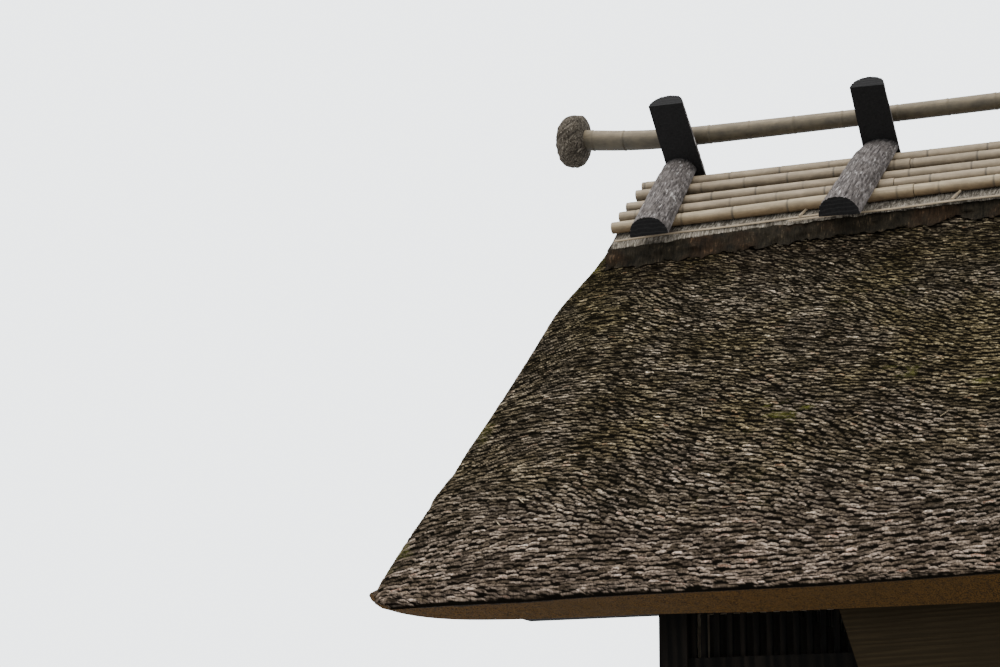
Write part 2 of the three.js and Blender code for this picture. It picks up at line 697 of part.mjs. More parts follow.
// The boarded gable above the side beam, let in round the ridge beam
function gable(end) {
  const x0 = end * CORNER_X - GABLE_BOARD / 2;
  const x1 = end * CORNER_X + GABLE_BOARD / 2;
  const reach = WALL_Y - POST / 2 - GAP;
  const outline = [
    [-reach, SIDE_BEAM_TOP + GAP], [reach, SIDE_BEAM_TOP + GAP], [reach, battenUnderside(reach)],
    [0, battenUnderside(0)], [-reach, battenUnderside(reach)],
  ];
  const half = RIDGE_BEAM_WIDTH / 2 + GAP;
  const slot = box(x0 - GABLE_BOARD, x1 + GABLE_BOARD, -half, half, ridgeBeamBottom - GAP, ridgeBeamTop + GAP);
  return cut(prismAlongX(outline, x0, x1), [slot]);
}

function addWalls() {
  const onFloor = SILL_TOP + GAP;
  const lastBay = FRONT_POSTS.length - 2;
  addPiece('wall_front_left', longInfill(-1, FRONT_POSTS, 0, DOOR_BAY - 1, onFloor, true), 'plaster');
  addPiece('wall_over_doorway', longInfill(-1, FRONT_POSTS, DOOR_BAY, DOOR_BAY, HEAD_BOTTOM, false), 'plaster');
  addPiece('wall_front_right', longInfill(-1, FRONT_POSTS, DOOR_BAY + 1, lastBay, onFloor, true), 'plaster');
  addPiece('wall_back', longInfill(1, BACK_POSTS, 0, BACK_POSTS.length - 2, onFloor, true), 'plaster');
  addPiece('wall_west', sideInfill(-1), 'plaster');
  addPiece('wall_east', sideInfill(1), 'plaster');
  addPiece('gable_west', gable(-1), 'boards');
  addPiece('gable_east', gable(1), 'boards');
}

function addFloorAndFooting() {
  const x = CORNER_X - POST / 2 - GAP;
  const y = WALL_Y - POST / 2 - GAP;
  addPiece('floor', box(-x, x, -y, y, FOOTING_TOP + GAP, SILL_TOP), 'floor');
  const outX = CORNER_X + POST / 2 + FOOTING_OUT;
  const outY = WALL_Y + POST / 2 + FOOTING_OUT;
  const inX = CORNER_X - POST / 2 - FOOTING_IN;
  const inY = WALL_Y - POST / 2 - FOOTING_IN;
  const room = box(-inX, inX, -inY, inY, -FOOTING_TOP, 2 * FOOTING_TOP);
  addPiece('stone_footing', cut(box(-outX, outX, -outY, outY, 0, FOOTING_TOP), [room]), 'stone');
}

// Two sliding leaves, both standing in the left half of the doorway
function addDoors() {
  const left = FRONT_POSTS[DOOR_BAY] + POST / 2 + GAP;
  const right = FRONT_POSTS[DOOR_BAY + 1] - POST / 2;
  const width = (right - left + DOOR_OVERLAP) / 2;
  const bottom = SILL_TOP + GAP;
  const top = HEAD_BOTTOM - GAP;
  const tracks = [['outer', -WALL_Y - DOOR_THICKNESS / 2 - 2], ['inner', -WALL_Y + DOOR_THICKNESS / 2 + 2]];
  for (const [name, y] of tracks) {
    const y0 = y - DOOR_THICKNESS / 2;
    const y1 = y + DOOR_THICKNESS / 2;
    const middle = (bottom + top) / 2;
    const timbers = [
      box(left, left + width, y - DOOR_PANEL / 2, y + DOOR_PANEL / 2, bottom + TIMBER_LAP, top - TIMBER_LAP),
      box(left, left + DOOR_STILE, y0, y1, bottom, top),
      box(left + width - DOOR_STILE, left + width, y0, y1, bottom, top),
      box(left, left + width, y0, y1, bottom, bottom + 2 * DOOR_STILE),
      box(left, left + width, y0, y1, middle - DOOR_STILE / 2, middle + DOOR_STILE / 2),
      box(left, left + width, y0, y1, top - DOOR_STILE, top),
    ];
    addPiece(`door_leaf_${name}`, join(timbers), 'timber');
  }
}

function addSignBoard() {
  const slant = SIGN_SLANT * (SIGN_TOP - SIGN_BOTTOM);
  const outline = new THREE.Shape([
    new THREE.Vector2(SIGN_LEFT + slant, SIGN_BOTTOM), new THREE.Vector2(SIGN_RIGHT - slant, SIGN_BOTTOM),
    new THREE.Vector2(SIGN_RIGHT, SIGN_TOP), new THREE.Vector2(SIGN_LEFT, SIGN_TOP),
  ]);
  const board = new THREE.ExtrudeGeometry(outline, { depth: SIGN_THICKNESS, bevelEnabled: false });
  board.rotateX(Math.PI / 2).translate(0, -RAFTER_TAIL_Y - GAP, 0);
  addPiece('sign_board', board, 'sign');
}

addFloorAndFooting();
addFrames();
addWalls();
addDoors();
addBeams();
addRafters();
addPiece('thatch_front', thatchSlab(-1), 'thatch');
addPiece('thatch_back', thatchSlab(1), 'thatch');
addRidgePacking();
addBarkCovers();
addCapBamboo();
addSaddles();
addRidgePoles();
addSignBoard();

export default group;
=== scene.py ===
import math

import bpy
import numpy as np
from mathutils import Matrix, Vector


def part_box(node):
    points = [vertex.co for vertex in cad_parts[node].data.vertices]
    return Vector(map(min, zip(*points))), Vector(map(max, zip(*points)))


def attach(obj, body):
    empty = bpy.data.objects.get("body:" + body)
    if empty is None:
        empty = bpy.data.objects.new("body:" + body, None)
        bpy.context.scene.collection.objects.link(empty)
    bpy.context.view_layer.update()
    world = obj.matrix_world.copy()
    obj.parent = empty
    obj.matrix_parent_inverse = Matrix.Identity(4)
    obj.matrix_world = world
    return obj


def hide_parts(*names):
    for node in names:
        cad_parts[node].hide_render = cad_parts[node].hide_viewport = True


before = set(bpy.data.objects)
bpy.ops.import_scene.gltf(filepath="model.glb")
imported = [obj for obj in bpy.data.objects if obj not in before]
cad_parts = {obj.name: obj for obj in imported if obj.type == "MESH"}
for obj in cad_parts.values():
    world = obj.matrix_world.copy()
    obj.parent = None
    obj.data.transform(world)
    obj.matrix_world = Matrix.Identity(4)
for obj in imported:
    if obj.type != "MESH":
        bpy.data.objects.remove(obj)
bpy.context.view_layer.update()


# Camera: it stands on the ground in front of the entrance side, east of the part that it shows,
# and looks up to the left at the west end of the ridge through a short telephoto lens.
CAMERA_PLACE = Vector((1.273, -15.061, 1.585))
CAMERA_TURN = math.radians(23.42)
CAMERA_RISE = math.radians(12.906)
CAMERA_ROLL = math.radians(0.284)
FOCAL_PIXELS = 2506
PICTURE_WIDTH = 1000

camera = bpy.data.objects.new("camera", bpy.data.cameras.new("camera"))
camera.data.sensor_width = 36
camera.data.lens = FOCAL_PIXELS / PICTURE_WIDTH * camera.data.sensor_width
camera.data.clip_end = 200
camera.matrix_world = (
    Matrix.Translation(CAMERA_PLACE) @ Matrix.Rotation(CAMERA_TURN, 4, "Z")
    @ Matrix.Rotation(math.pi / 2 + CAMERA_RISE, 4, "X") @ Matrix.Rotation(CAMERA_ROLL, 4, "Z"))
bpy.context.scene.collection.objects.link(camera)
bpy.context.scene.camera = camera


# Stone footing: a single course of rough cut blocks around the house, laid dry on the ground.
# Each block bulges a little between its joints, and the corners are mitred.
FOOTING_OUT = (3.4, 2.32)
FOOTING_WIDTH = 0.35
FOOTING_HEIGHT = 0.15
BLOCK_LENGTH = 0.46
JOINT_DEPTH = 0.012
BLOCK_BULGE = 0.012
HEWN_DEPTH = 0.008
POINTS_PER_SIDE = 260


def put(tree, kind, values, **settings):
    """A shader node with its inputs set: a socket is linked, anything else is a constant."""
    node = tree.nodes.new(kind)
    for name, value in settings.items():
        setattr(node, name, value)
    for name, value in values.items():
        if isinstance(value, bpy.types.NodeSocket):
            tree.links.new(value, node.inputs[name])
        else:
            node.inputs[name].default_value = value
    return node


def ramp(tree, value, stops):
    """A colour ramp: stops are (place, colour) with the colour as three numbers or one grey."""
    node = tree.nodes.new("ShaderNodeValToRGB")
    tree.links.new(value, node.inputs["Fac"])
    elements = node.color_ramp.elements
    while len(elements) < len(stops):
        elements.new(0.5)
    for element, (place, colour) in zip(elements, stops):
        shade = (colour,) * 3 if isinstance(colour, (int, float)) else colour
        element.position = place
        element.color = (*shade, 1)
    return node.outputs["Color"]


def mixed(tree, amount, first, second, way="MIX"):
    """The two colours mixed by amount; way is the blend type."""
    node = tree.nodes.new("ShaderNodeMix")
    node.data_type = "RGBA"
    node.blend_type = way
    for place, value in ((0, amount), (6, first), (7, second)):
        if isinstance(value, bpy.types.NodeSocket):
            tree.links.new(value, node.inputs[place])
        else:
            node.inputs[place].default_value = (*value, 1) if isinstance(value, tuple) else value
    return node.outputs[2]


def finish(name, roughness, specular):
    """A new material, the tree to build its colour in, and the place in the house to read."""
    material = bpy.data.materials.new(name)
    material.use_nodes = True
    tree = material.node_tree
    tree.nodes["Principled BSDF"].inputs["Roughness"].default_value = roughness
    tree.nodes["Principled BSDF"].inputs["Specular IOR Level"].default_value = specular
    return material, tree, put(tree, "ShaderNodeTexCoord", {}).outputs["Object"]


def coated(material, colour, height=None, depth=0.0):
    """The material with the colour on its shader, and the height as a bump of that depth in metres."""
    tree = material.node_tree
    inputs = tree.nodes["Principled BSDF"].inputs
    tree.links.new(colour, inputs["Base Color"])
    if height:
        bump = put(tree, "ShaderNodeBump", {"Height": height, "Distance": depth})
        tree.links.new(bump.outputs["Normal"], inputs["Normal"])
    return material


def stretched(tree, source, scales):
    """Coordinates with each axis multiplied, so that a pattern runs long one way."""
    return put(tree, "ShaderNodeMapping", {"Vector": source, "Scale": scales}).outputs["Vector"]


def noise(tree, vector, scale, detail, rough, scales=None):
    """Fractal noise from 0 to 1, on coordinates that scales may have stretched."""
    vector = stretched(tree, vector, scales) if scales else vector
    return put(tree, "ShaderNodeTexNoise", {"Vector": vector, "Scale": scale, "Detail": detail,
                                            "Roughness": rough}).outputs["Fac"]


def build(name, points, faces, materials, zones=0, marks=None, sharp=40, flip=False):
    """A mesh object from whole arrays. faces holds pairs: the point numbers of faces with equally
    many corners, and a UV for each corner. zones are the faces' material numbers, and marks are
    values at the points, which the materials read by name. flip turns every face over."""
    order = slice(None, None, -1 if flip else 1)
    corners = np.concatenate([numbers[:, order].ravel() for numbers, uv in faces])
    corner_uv = np.concatenate([uv[:, order].reshape(-1, 2) for numbers, uv in faces])
    sizes = np.concatenate([np.full(len(numbers), numbers.shape[1]) for numbers, uv in faces])
    mesh = bpy.data.meshes.new(name)
    mesh.vertices.add(len(points))
    mesh.vertices.foreach_set("co", np.asarray(points, np.float32).ravel())
    mesh.loops.add(len(corners))
    mesh.loops.foreach_set("vertex_index", corners.astype(np.int32))
    mesh.polygons.add(len(sizes))
    mesh.polygons.foreach_set("loop_start", (np.cumsum(sizes) - sizes).astype(np.int32))
    mesh.polygons.foreach_set("material_index", np.broadcast_to(zones, sizes.shape).astype(np.int32))
    mesh.update(calc_edges=True)
    mesh.uv_layers.new(name="UVMap").data.foreach_set("uv", corner_uv.astype(np.float32).ravel())
    for mark, values in (marks or {}).items():
        attribute = mesh.attributes.new(mark, "FLOAT", "POINT")
        attribute.data.foreach_set("value", np.asarray(values, np.float32).ravel())
    for material in materials:
        mesh.materials.append(material)
    mesh.polygons.foreach_set("use_smooth", np.ones(len(sizes), bool))
    mesh.set_sharp_from_angle(angle=math.radians(sharp))
    piece = bpy.data.objects.new(name, mesh)
    bpy.context.scene.collection.objects.link(piece)
    return piece


def wrapped(uv, count):
    """The quads between count closed lines of points, their UVs, and each quad's place in its line.
    uv has one column more than a line has points, and one row more than there are strips."""
    around = uv.shape[1] - 1
    k, i = np.meshgrid(np.arange(len(uv) - 1), np.arange(around), indexing="ij")
    after, beside = (k + 1) % count, (i + 1) % around
    quads = np.stack([k * around + i, k * around + beside, after * around + beside, after * around + i], -1)
    quad_uv = np.stack([uv[k, i], uv[k, i + 1], uv[k + 1, i + 1], uv[k + 1, i]], -2)
    return quads.reshape(-1, 4), quad_uv.reshape(-1, 4, 2), i.ravel()


def carried(name, loops, materials, zones=0, end_zone=0, marks=None, ring=False, sharp=40, flip=False):
    """A closed surface: loops[k] is a closed line of points, and each is joined to the next by
    quads. ring joins the last loop to the first, otherwise both ends get a middle point and a fan.
    UV is metres along the path and metres around the first loop."""
    count, around = loops.shape[:2]
    line = (np.concatenate([loops, loops[:1]]) if ring else loops).mean(1)
    girdle = np.concatenate([loops[0], loops[0, :1]])
    along, girth = [np.concatenate([[0], np.cumsum(np.linalg.norm(np.diff(path, axis=0), axis=1))])
                    for path in (line, girdle)]
    quads, quad_uv, place = wrapped(np.stack(np.broadcast_arrays(along[:, None], girth[None]), -1), count)
    faces = [(quads, quad_uv)]
    face_zones = np.broadcast_to(zones, around)[place]
    points = loops.reshape(-1, 3)
    marks = {mark: np.asarray(values).reshape(-1) for mark, values in (marks or {}).items()}
    if not ring:
        i = np.arange(around)
        beside = (i + 1) % around
        base, middle = (count - 1) * around, np.full(around, len(points))
        fans = np.concatenate([np.stack([beside, i, middle], -1),
                               np.stack([base + i, base + beside, middle + 1], -1)])
        points = np.concatenate([points, [loops[0].mean(0), loops[-1].mean(0)]])
        faces.append((fans, points[fans][:, :, [1, 2]]))
        face_zones = np.concatenate([face_zones, np.full(len(fans), end_zone)])
        marks = {mark: np.concatenate([values, [values[:around].mean(), values[-around:].mean()]])
                 for mark, values in marks.items()}
    return build(name, points, faces, materials, face_zones, marks, sharp, flip)


def scatter(i, j, seed):
    """Repeatable numbers from 0 to 1 for whole-number places: the fraction of a large sine."""
    wave = np.sin(i * 127.1 + j * 311.7 + seed * 74.7) * 43758.5453
    return wave - np.floor(wave)


def drift(x, y, seed):
    """Smooth noise from 0 to 1: scatter at the four corners of a unit cell, blended by 3t2 - 2t3."""
    i, j = np.floor(x), np.floor(y)
    a, b = x - i, y - j
    a, b = a * a * (3 - 2 * a), b * b * (3 - 2 * b)
    low = scatter(i, j, seed) * (1 - a) + scatter(i + 1, j, seed) * a
    high = scatter(i, j + 1, seed) * (1 - a) + scatter(i + 1, j + 1, seed) * a
    return low * (1 - b) + high * b


def show(piece, slot, *nodes):
    """The piece rides on the house and stands for the CAD nodes. slot is not used."""
    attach(piece, "root")
    if nodes:
        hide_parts(*nodes)


def footing_stone():
    """Grey, speckled stone with dark patches of damp."""
    material, tree, place = finish("footing_stone", 0.92, 0.25)
    speckle = noise(tree, place, 60, 5, 0.7)
    patches = noise(tree, place, 3.1, 3, 0.5)
    stone = ramp(tree, speckle, [(0.25, (0.13, 0.125, 0.115)), (0.75, (0.36, 0.35, 0.33))])
    stained = mixed(tree, ramp(tree, patches, [(0.45, 0.0), (0.7, 0.6)]), stone, (0.12, 0.115, 0.08))
    return coated(material, stained, speckle, 0.004)


def stone_course():
    """Section: up the outer face, in over the top and down the inner face, moved inwards at a joint
    by 12 mm |2f - 1|^10, with f the share of the way along a block. Path: the rectangle. run starts
    afresh on each side, so that no two sides are alike."""
    f = np.linspace(-1, 1, POINTS_PER_SIDE, endpoint=False)
    one = np.ones(POINTS_PER_SIDE)
    corner_x = np.concatenate([f, one, -f, -one])
    corner_y = np.concatenate([-one, f, one, -f])
    run = np.concatenate([f * 3.4 + 20, f * 2.3 + 40, f * 3.4 + 60, f * 2.3 + 80])
    part = run / BLOCK_LENGTH
    joint = np.abs(2 * (part - np.floor(part)) - 1) ** 10 * JOINT_DEPTH
    heights = np.array([0, 0.05, 0.11, *[FOOTING_HEIGHT] * 3, 0.11, 0.0])
    across = np.array([0, 0.004, 0.004, -0.012, 0.5, 1.012, 1.0, 1.0])
    bulge = np.array([0.2, 0, 0, 1, 1, 1, 1, 1])
    rough = HEWN_DEPTH * drift(run[:, None] * 9, heights[None] * 30 + 3, 5)
    sunk = joint[:, None] + rough
    inset = np.clip(across, 0, 1)[None] * FOOTING_WIDTH + sunk * np.where(across > 0.6, -1, 1)[None]
    inset = np.clip(inset + BLOCK_BULGE * bulge[None] * (across[None] < 0.3), 0, FOOTING_WIDTH)
    height = heights[None] - sunk * (heights[None] > 0.12)
    x, y = [corner[:, None] * (out - inset) for corner, out in zip((corner_x, corner_y), FOOTING_OUT)]
    return carried("stone_course", np.stack([x, y, height], -1), [footing_stone()], ring=True, flip=True)


show(stone_course(), "footing_stone", "stone_footing")


# Floor: worn boards of 180 mm laid along the house inside the post frames, with open joints. They
# are sawn from cedar and nailed to sleepers, and feet have rubbed them lighter than the walls.
BOARD_WIDTH = 0.18
BOARD_GAP = 0.004
GROOVE_DEPTH = 0.008
GRAIN_DEPTH = 0.0025


def worked(tree, operation, *values):
    """The result of a Math node."""
    return put(tree, "ShaderNodeMath", dict(enumerate(values)), operation=operation).outputs[0]


def timber_grain():
    """Shader group: long fibres and dark growth lines along Z of the coordinates, two colours in,
    colour and height out."""
    group = bpy.data.node_groups.new("timber_grain", "ShaderNodeTree")
    for name, way, kind in (("Vector", "INPUT", "Vector"), ("Dark", "INPUT", "Color"),
                            ("Light", "INPUT", "Color"), ("Colour", "OUTPUT", "Color"),
                            ("Height", "OUTPUT", "Float")):
        group.interface.new_socket(name, in_out=way, socket_type="NodeSocket" + kind)
    given = group.nodes.new("NodeGroupInput").outputs
    leave = group.nodes.new("NodeGroupOutput")
    along = stretched(group, given["Vector"], (1, 1, 0.05))
    lines = noise(group, along, 45, 5, 0.65)
    rings = put(group, "ShaderNodeTexWave",
                {"Vector": along, "Scale": 9.0, "Distortion": 6.0, "Detail": 3.0},
                wave_type="BANDS", bands_direction="DIAGONAL").outputs["Fac"]
    stains = noise(group, given["Vector"], 1.7, 3, 0.5)
    both = worked(group, "MULTIPLY", lines, rings)
    grain = mixed(group, ramp(group, both, [(0.1, 0.0), (0.55, 1.0)]), given["Dark"], given["Light"])
    shaded = mixed(group, ramp(group, stains, [(0.35, 0.75), (0.65, 0.0)]), grain, given["Dark"])
    group.links.new(shaded, leave.inputs["Colour"])
    group.links.new(both, leave.inputs["Height"])
    return group


grain_group = timber_grain()


def timber(name, dark, light, along, roughness, specular, fineness=1.0):
    """A wooden finish whose grain runs along the given axis of the house."""
    material, tree, place = finish(name, roughness, specular)
    turns = {"X": (0, math.pi / 2, 0), "Y": (math.pi / 2, 0, 0), "Z": (0, 0, 0)}
    turned = put(tree, "ShaderNodeMapping", {"Vector": place, "Rotation": turns[along],
                                             "Scale": (fineness,) * 3}).outputs["Vector"]
    grain = put(tree, "ShaderNodeGroup", {"Vector": turned, "Dark": (*dark, 1), "Light": (*light, 1)},
                node_tree=grain_group).outputs
    return coated(material, grain["Colour"], grain["Height"], GRAIN_DEPTH)


def floor_boards():
    """Section across the boards: each is flat, with a 4 mm groove to the next. Path: along X."""
    low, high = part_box("floor")
    count = int((high.y - low.y) / BOARD_WIDTH)
    width = (high.y - low.y) / count
    edges = np.array([BOARD_GAP, width - BOARD_GAP, width - 0.001, width])
    y = (low.y + width * np.arange(count)[:, None] + edges).ravel()[:-2]
    z = np.tile(high.z - GROOVE_DEPTH * np.array([0, 0, 1, 1]), count)[:-2]
    y = [low.y, low.y, *y, high.y, high.y]
    z = [low.z, high.z - 0.002, *z, high.z - 0.002, low.z]
    x = np.linspace(low.x, high.x, 9)[:, None]
    wood = timber("floor_boards", (0.09, 0.06, 0.04), (0.3, 0.22, 0.15), "X", 0.6, 0.3)
    return carried("floor_boards", np.stack(np.broadcast_arrays(x, y, z), -1), [wood], flip=True, sharp=20)


show(floor_boards(), "floor_boards", "floor")


# Post frames, plates, beams, rafters and door leaves: planed timber, blackened by smoke and kept darker
# still as painted shade for the dark under the eave. The posts stand on sills, and the rails are let into
# them, so that each wall is one frame.
# both grain colours are near black: smoke-dark timber, darkened further as painted shade under the eave
SMOKED_SHADED_DARK = (0.0018, 0.0014, 0.001)
SMOKED_SHADED_LIGHT = (0.011, 0.0082, 0.0058)

upright_timber = timber("old_timber_upright", SMOKED_SHADED_DARK, SMOKED_SHADED_LIGHT, "Z", 0.85, 0.1)
lying_timber = timber("old_timber_lying", SMOKED_SHADED_DARK, SMOKED_SHADED_LIGHT, "X", 0.85, 0.1)
crossing_timber = timber("old_timber_crossing", SMOKED_SHADED_DARK, SMOKED_SHADED_LIGHT, "Y", 0.85, 0.1)


def paint(material, *names):
    """The solids of the frame that show as they are get their finish."""
    for name in names:
        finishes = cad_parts[name].data.materials
        finishes.clear()
        finishes.append(material)


paint(upright_timber, "post_frame_front", "post_frame_back", "post_frame_west", "post_frame_east",
      "door_leaf_outer", "door_leaf_inner")
paint(lying_timber, "ridge_beam", "wall_plate_front", "wall_plate_back")
paint(crossing_timber, "tie_beam_west", "tie_beam_east", "rafters_front", "rafters_back")


# Window and transom bars: upright bars of 32 by 30 mm let into the rails, a hand's breadth apart.
# The transoms over the head rail have them closer than the windows below.
BAR_WIDTH = 0.032
BAR_DEPTH = 0.03
BAR_WEAR = 0.003
BAR_OUT = 0.01
TRANSOM_PITCH = 0.072
WINDOW_PITCH = 0.105
POST = 0.16
WALL_X = 3.25
WALL_Y = 2.17
WINDOW_LEVELS = (1.262, 2.308)
TRANSOM_LEVELS = (2.892, 3.158)
FRONT_POSTS = (-3.25, -2.05, -0.05, 1.6, 3.25)
BACK_POSTS = (-3.25, -1.6, 0.05, 1.7, 3.25)
END_WINDOW = (-0.75, 0.75)
DOOR_BAY = 1
BAR_CAPS = np.array([[0, 3, 2, 1], [0, 5, 4, 3], [0, 7, 6, 5],
                     [8, 9, 10, 11], [8, 11, 12, 13], [8, 13, 14, 15]])


def prisms(name, lines, caps, material, sharp):
    """Many closed bars in one mesh. lines[k] holds bar k's first and last line of points, and caps
    are the faces that close its ends, by the places of their corners in both lines."""
    around = lines.shape[2]
    points = lines.reshape(-1, 3)
    start = 2 * around * np.arange(len(lines))[:, None]
    i = np.arange(around)[None]
    beside = (i + 1) % around
    sides = np.stack([start + i, start + beside, start + around + beside, start + around + i], -1)
    faces = [(corners, points[corners][:, :, [0, 2]])
             for corners in (sides.reshape(-1, 4), (start[:, :, None] + caps).reshape(-1, caps.shape[1]))]
    return build(name, points, faces, [material], sharp=sharp)


def upright_bars(name, x, y, bottoms, tops, width, depth, material):
    """Bars with a worn, chamfered edge. Section: eight corners, 3 mm in from the square's. Path:
    straight up. x and y are the middles, width is along X and depth along Y."""
    signs = np.array([[-1, -1], [1, -1], [1, 1], [-1, 1]])
    square = signs * np.array([width, depth]) / 2
    even = (np.arange(4) % 2 == 0)[:, None]
    worn_x, worn_y = [-BAR_WEAR * signs * axis for axis in ((1, 0), (0, 1))]
    section = np.stack([square + np.where(even, worn_y, worn_x), square + np.where(even, worn_x, worn_y)], 1)
    flat = np.stack(np.broadcast_arrays(x, y), -1)[:, None] + section.reshape(8, 2)
    ends = [np.broadcast_to(np.reshape(level, (-1, 1, 1)), (len(flat), 8, 1)) for level in (bottoms, tops)]
    lines = np.stack([np.concatenate([flat, end], -1) for end in ends], 1)
    return prisms(name, lines, BAR_CAPS, material, 30)


def bay_places(posts, pitch, skipped):
    """The middles of the bars between each pair of neighbouring posts, with a strip on each post."""
    strip = BAR_WIDTH / 2 + 0.0005
    places = []
    for bay, (left, right) in enumerate(zip(posts, posts[1:])):
        if bay not in skipped:
            left, right = left + POST / 2, right - POST / 2
            between = np.linspace(left, right, round((right - left) / pitch) + 1)[1:-1]
            places.append([left + strip, *between, right - strip])
    return np.concatenate(places)


def long_wall_bars(name, y, posts, door_bays):
    """The bars of one long wall: transoms in every bay, and windows in those without a door."""
    high, low = bay_places(posts, TRANSOM_PITCH, ()), bay_places(posts, WINDOW_PITCH, door_bays)
    bottoms, tops = [np.repeat(levels, [len(high), len(low)])
                     for levels in zip(TRANSOM_LEVELS, WINDOW_LEVELS)]
    show(upright_bars(name, np.concatenate([high, low]), y, bottoms, tops, BAR_WIDTH, BAR_DEPTH,
                      upright_timber), "old_timber")


def end_wall_bars(name, x):
    """The bars of the one window in an end wall."""
    y = bay_places(END_WINDOW, WINDOW_PITCH, ())
    show(upright_bars(name, x, y, *WINDOW_LEVELS, BAR_DEPTH, BAR_WIDTH, upright_timber), "old_timber")


long_wall_bars("window_bars_front", -WALL_Y - BAR_OUT, FRONT_POSTS, (DOOR_BAY,))
long_wall_bars("window_bars_back", WALL_Y + BAR_OUT, BACK_POSTS, ())
end_wall_bars("window_bars_west", -WALL_X - BAR_OUT)
end_wall_bars("window_bars_east", WALL_X + BAR_OUT)


# Walls: earth plaster with chopped straw on a bamboo lath, behind the post frames. The lath is tied
# to thin rails between the posts, and both its faces are thrown and trowelled by hand.
SOOT_AND_SHADE_INSET = 0.12


def earth_plaster():
    """Trowelled earth with flecks of straw. Its inner faces are painted near-black, as soot from the hearth
    and as painted shade for the dark inside of the house: a point is inside where the larger of |X| and |Y|,
    each over that of the inner face, is under 1."""
    material, tree, place = finish("earth_plaster", 0.95, 0.15)
    trowel = noise(tree, place, 5, 5, 0.6)
    straw = noise(tree, place, 75, 3, 0.6, (1, 1, 3.5))
    earth = ramp(tree, trowel, [(0.3, (0.17, 0.135, 0.09)), (0.7, (0.33, 0.27, 0.19))])
    flecked = mixed(tree, ramp(tree, straw, [(0.62, 0.0), (0.72, 0.7)]), earth, (0.45, 0.38, 0.25))
    axes = put(tree, "ShaderNodeSeparateXYZ", {"Vector": place}).outputs
    reach = [worked(tree, "ABSOLUTE", worked(tree, "MULTIPLY", axes[axis], 1 / (wall - SOOT_AND_SHADE_INSET)))
             for axis, wall in (("X", WALL_X), ("Y", WALL_Y))]
    outwards = worked(tree, "MAXIMUM", *reach)
    # inside the house the plaster is painted near-black: soot, and painted shade for the unlit inside
    inside_soot_and_shade = ramp(tree, outwards, [(0.999, 0.93), (1.0, 0.0)])
    sooted_and_shaded = mixed(tree, inside_soot_and_shade, flecked, (0.012, 0.0095, 0.0075))
    return coated(material, sooted_and_shaded, mixed(tree, 0.5, trowel, straw), 0.006)


paint(earth_plaster(), "wall_front_left", "wall_over_doorway", "wall_front_right", "wall_back",
      "wall_west", "wall_east")


# Gables: upright boards of grey, weathered cedar between the end walls and the thatch. Their joints
# are closed by cover strips of 50 mm, nailed on outside.
GABLE_FOOT = 3.334
COVER_PITCH = 0.24
COVER_WIDTH = 0.05
COVER_DEPTH = 0.02
COVER_SHORT = 0.03
THATCH_SLOPE = math.radians(43.95)

gable_wood = timber("gable_boards", (0.03, 0.026, 0.022), (0.17, 0.15, 0.125), "Z", 0.85, 0.3)
for end, end_name in ((-1, "west"), (1, "east")):
    paint(gable_wood, f"gable_{end_name}")
    low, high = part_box(f"gable_{end_name}")
    middle = (high.x if end > 0 else low.x) + end * COVER_DEPTH / 2
    strips = np.arange(-8, 9) * COVER_PITCH
    strips = strips[np.abs(strips) < high.y - COVER_WIDTH]
    tops = high.z - np.abs(strips) * math.tan(THATCH_SLOPE) - COVER_SHORT
    show(upright_bars(f"gable_covers_{end_name}", middle, strips, GABLE_FOOT, tops, COVER_DEPTH, COVER_WIDTH,
                      gable_wood), "gable_boards")


# Thatch: bundles of reed sewn to the battens in courses, butts down, and dressed back to an even
# slope. Weather has parted the butts into small overlapping tufts; the eave is cut square.
LIP_Y = 3.128
LIP_Z = 3.185
THATCH_THICKNESS = 0.341
SLOPE_LENGTH = 3.7
CUT_LENGTH = 0.38
CUT_DROP = math.radians(20)
LIP_RADIUS = 0.06
LIP_PLACES = (0.8, 1.5, 2.4, 3.0, 3.4)
LIP_RADII = (0.06, 0.034, 0.032, 0.016, 0.009)
VERGE_RADIUS = 0.11
VERGE_HALF_LENGTH = 4.715
VERGE_TAPER = 0.085
SHOULDER_DEPTH = 0.065
SHOULDER_RUN = (2.9, SLOPE_LENGTH)
VERGE_PLACES = (0, 0.03, 0.08, 0.2, 0.9, 0.97, 1.06, 1.24, 1.4, 1.72, 2.07, 2.5, 2.88, 3.15, 3.41, 3.7)
VERGE_BUMPS = (-0.14, -0.06, -0.02, 0, 0, 0.012, 0.006, -0.01, 0, -0.006, -0.005, 0, 0.008, 0, -0.005, 0)
EAVE_TRIM = 0.046
EAVE_TRIM_EASE = 0.026
EAVE_TRIM_RUN = (1.3, 2.2)
CORNER_TRIM = 0.245
CORNER_REACH = 0.2
TRIM_UP = 0.5
UNDER_ROWS = 9
CUT_ROWS = 12
CUT_RAGGED = 0.012
SWELL = 0.012
TUFT_BED = 0.011
TUFT_HEIGHT = 0.009
TUFT_HEIGHT_LOSS = 0.002
RIDGE_BED_Y = 0.45
RIDGE_GAP = 0.0002
CAP_SLOPE = math.radians(39.1)
COURSE_PITCH = 0.032
COURSE_CLOSING = 0.03
TUFT_WIDTH = 0.064
TUFT_CLOSING = 0.0065
MOSS_SPOTS = ((-2.62, 1.62, 0.34, 0.55), (-2.05, 1.9, 0.4, 0.5), (-1.55, 1.75, 0.35, 0.45),
              (-3.1, 3.25, 0.3, 0.4), (-1.3, 2.9, 0.45, 0.4), (-2.4, 2.75, 0.5, 0.35),
              (1.2, 1.9, 0.5, 0.5), (2.8, 2.6, 0.45, 0.5))


def eased(low, high, value):
    """0 below low, 1 above high, 3t2 - 2t3 between them."""
    t = np.clip((value - low) / (high - low), 0, 1)
    return t * t * (3 - 2 * t)


def verge_half(s):
    """Half the roof's length at s up the slope: it narrows evenly, more at the shoulder, and bulges
    in and out where the weather has taken reed from the verge."""
    worn = np.interp(s, VERGE_PLACES, VERGE_BUMPS)
    return VERGE_HALF_LENGTH - VERGE_TAPER * s - SHOULDER_DEPTH * eased(*SHOULDER_RUN, s) + worn


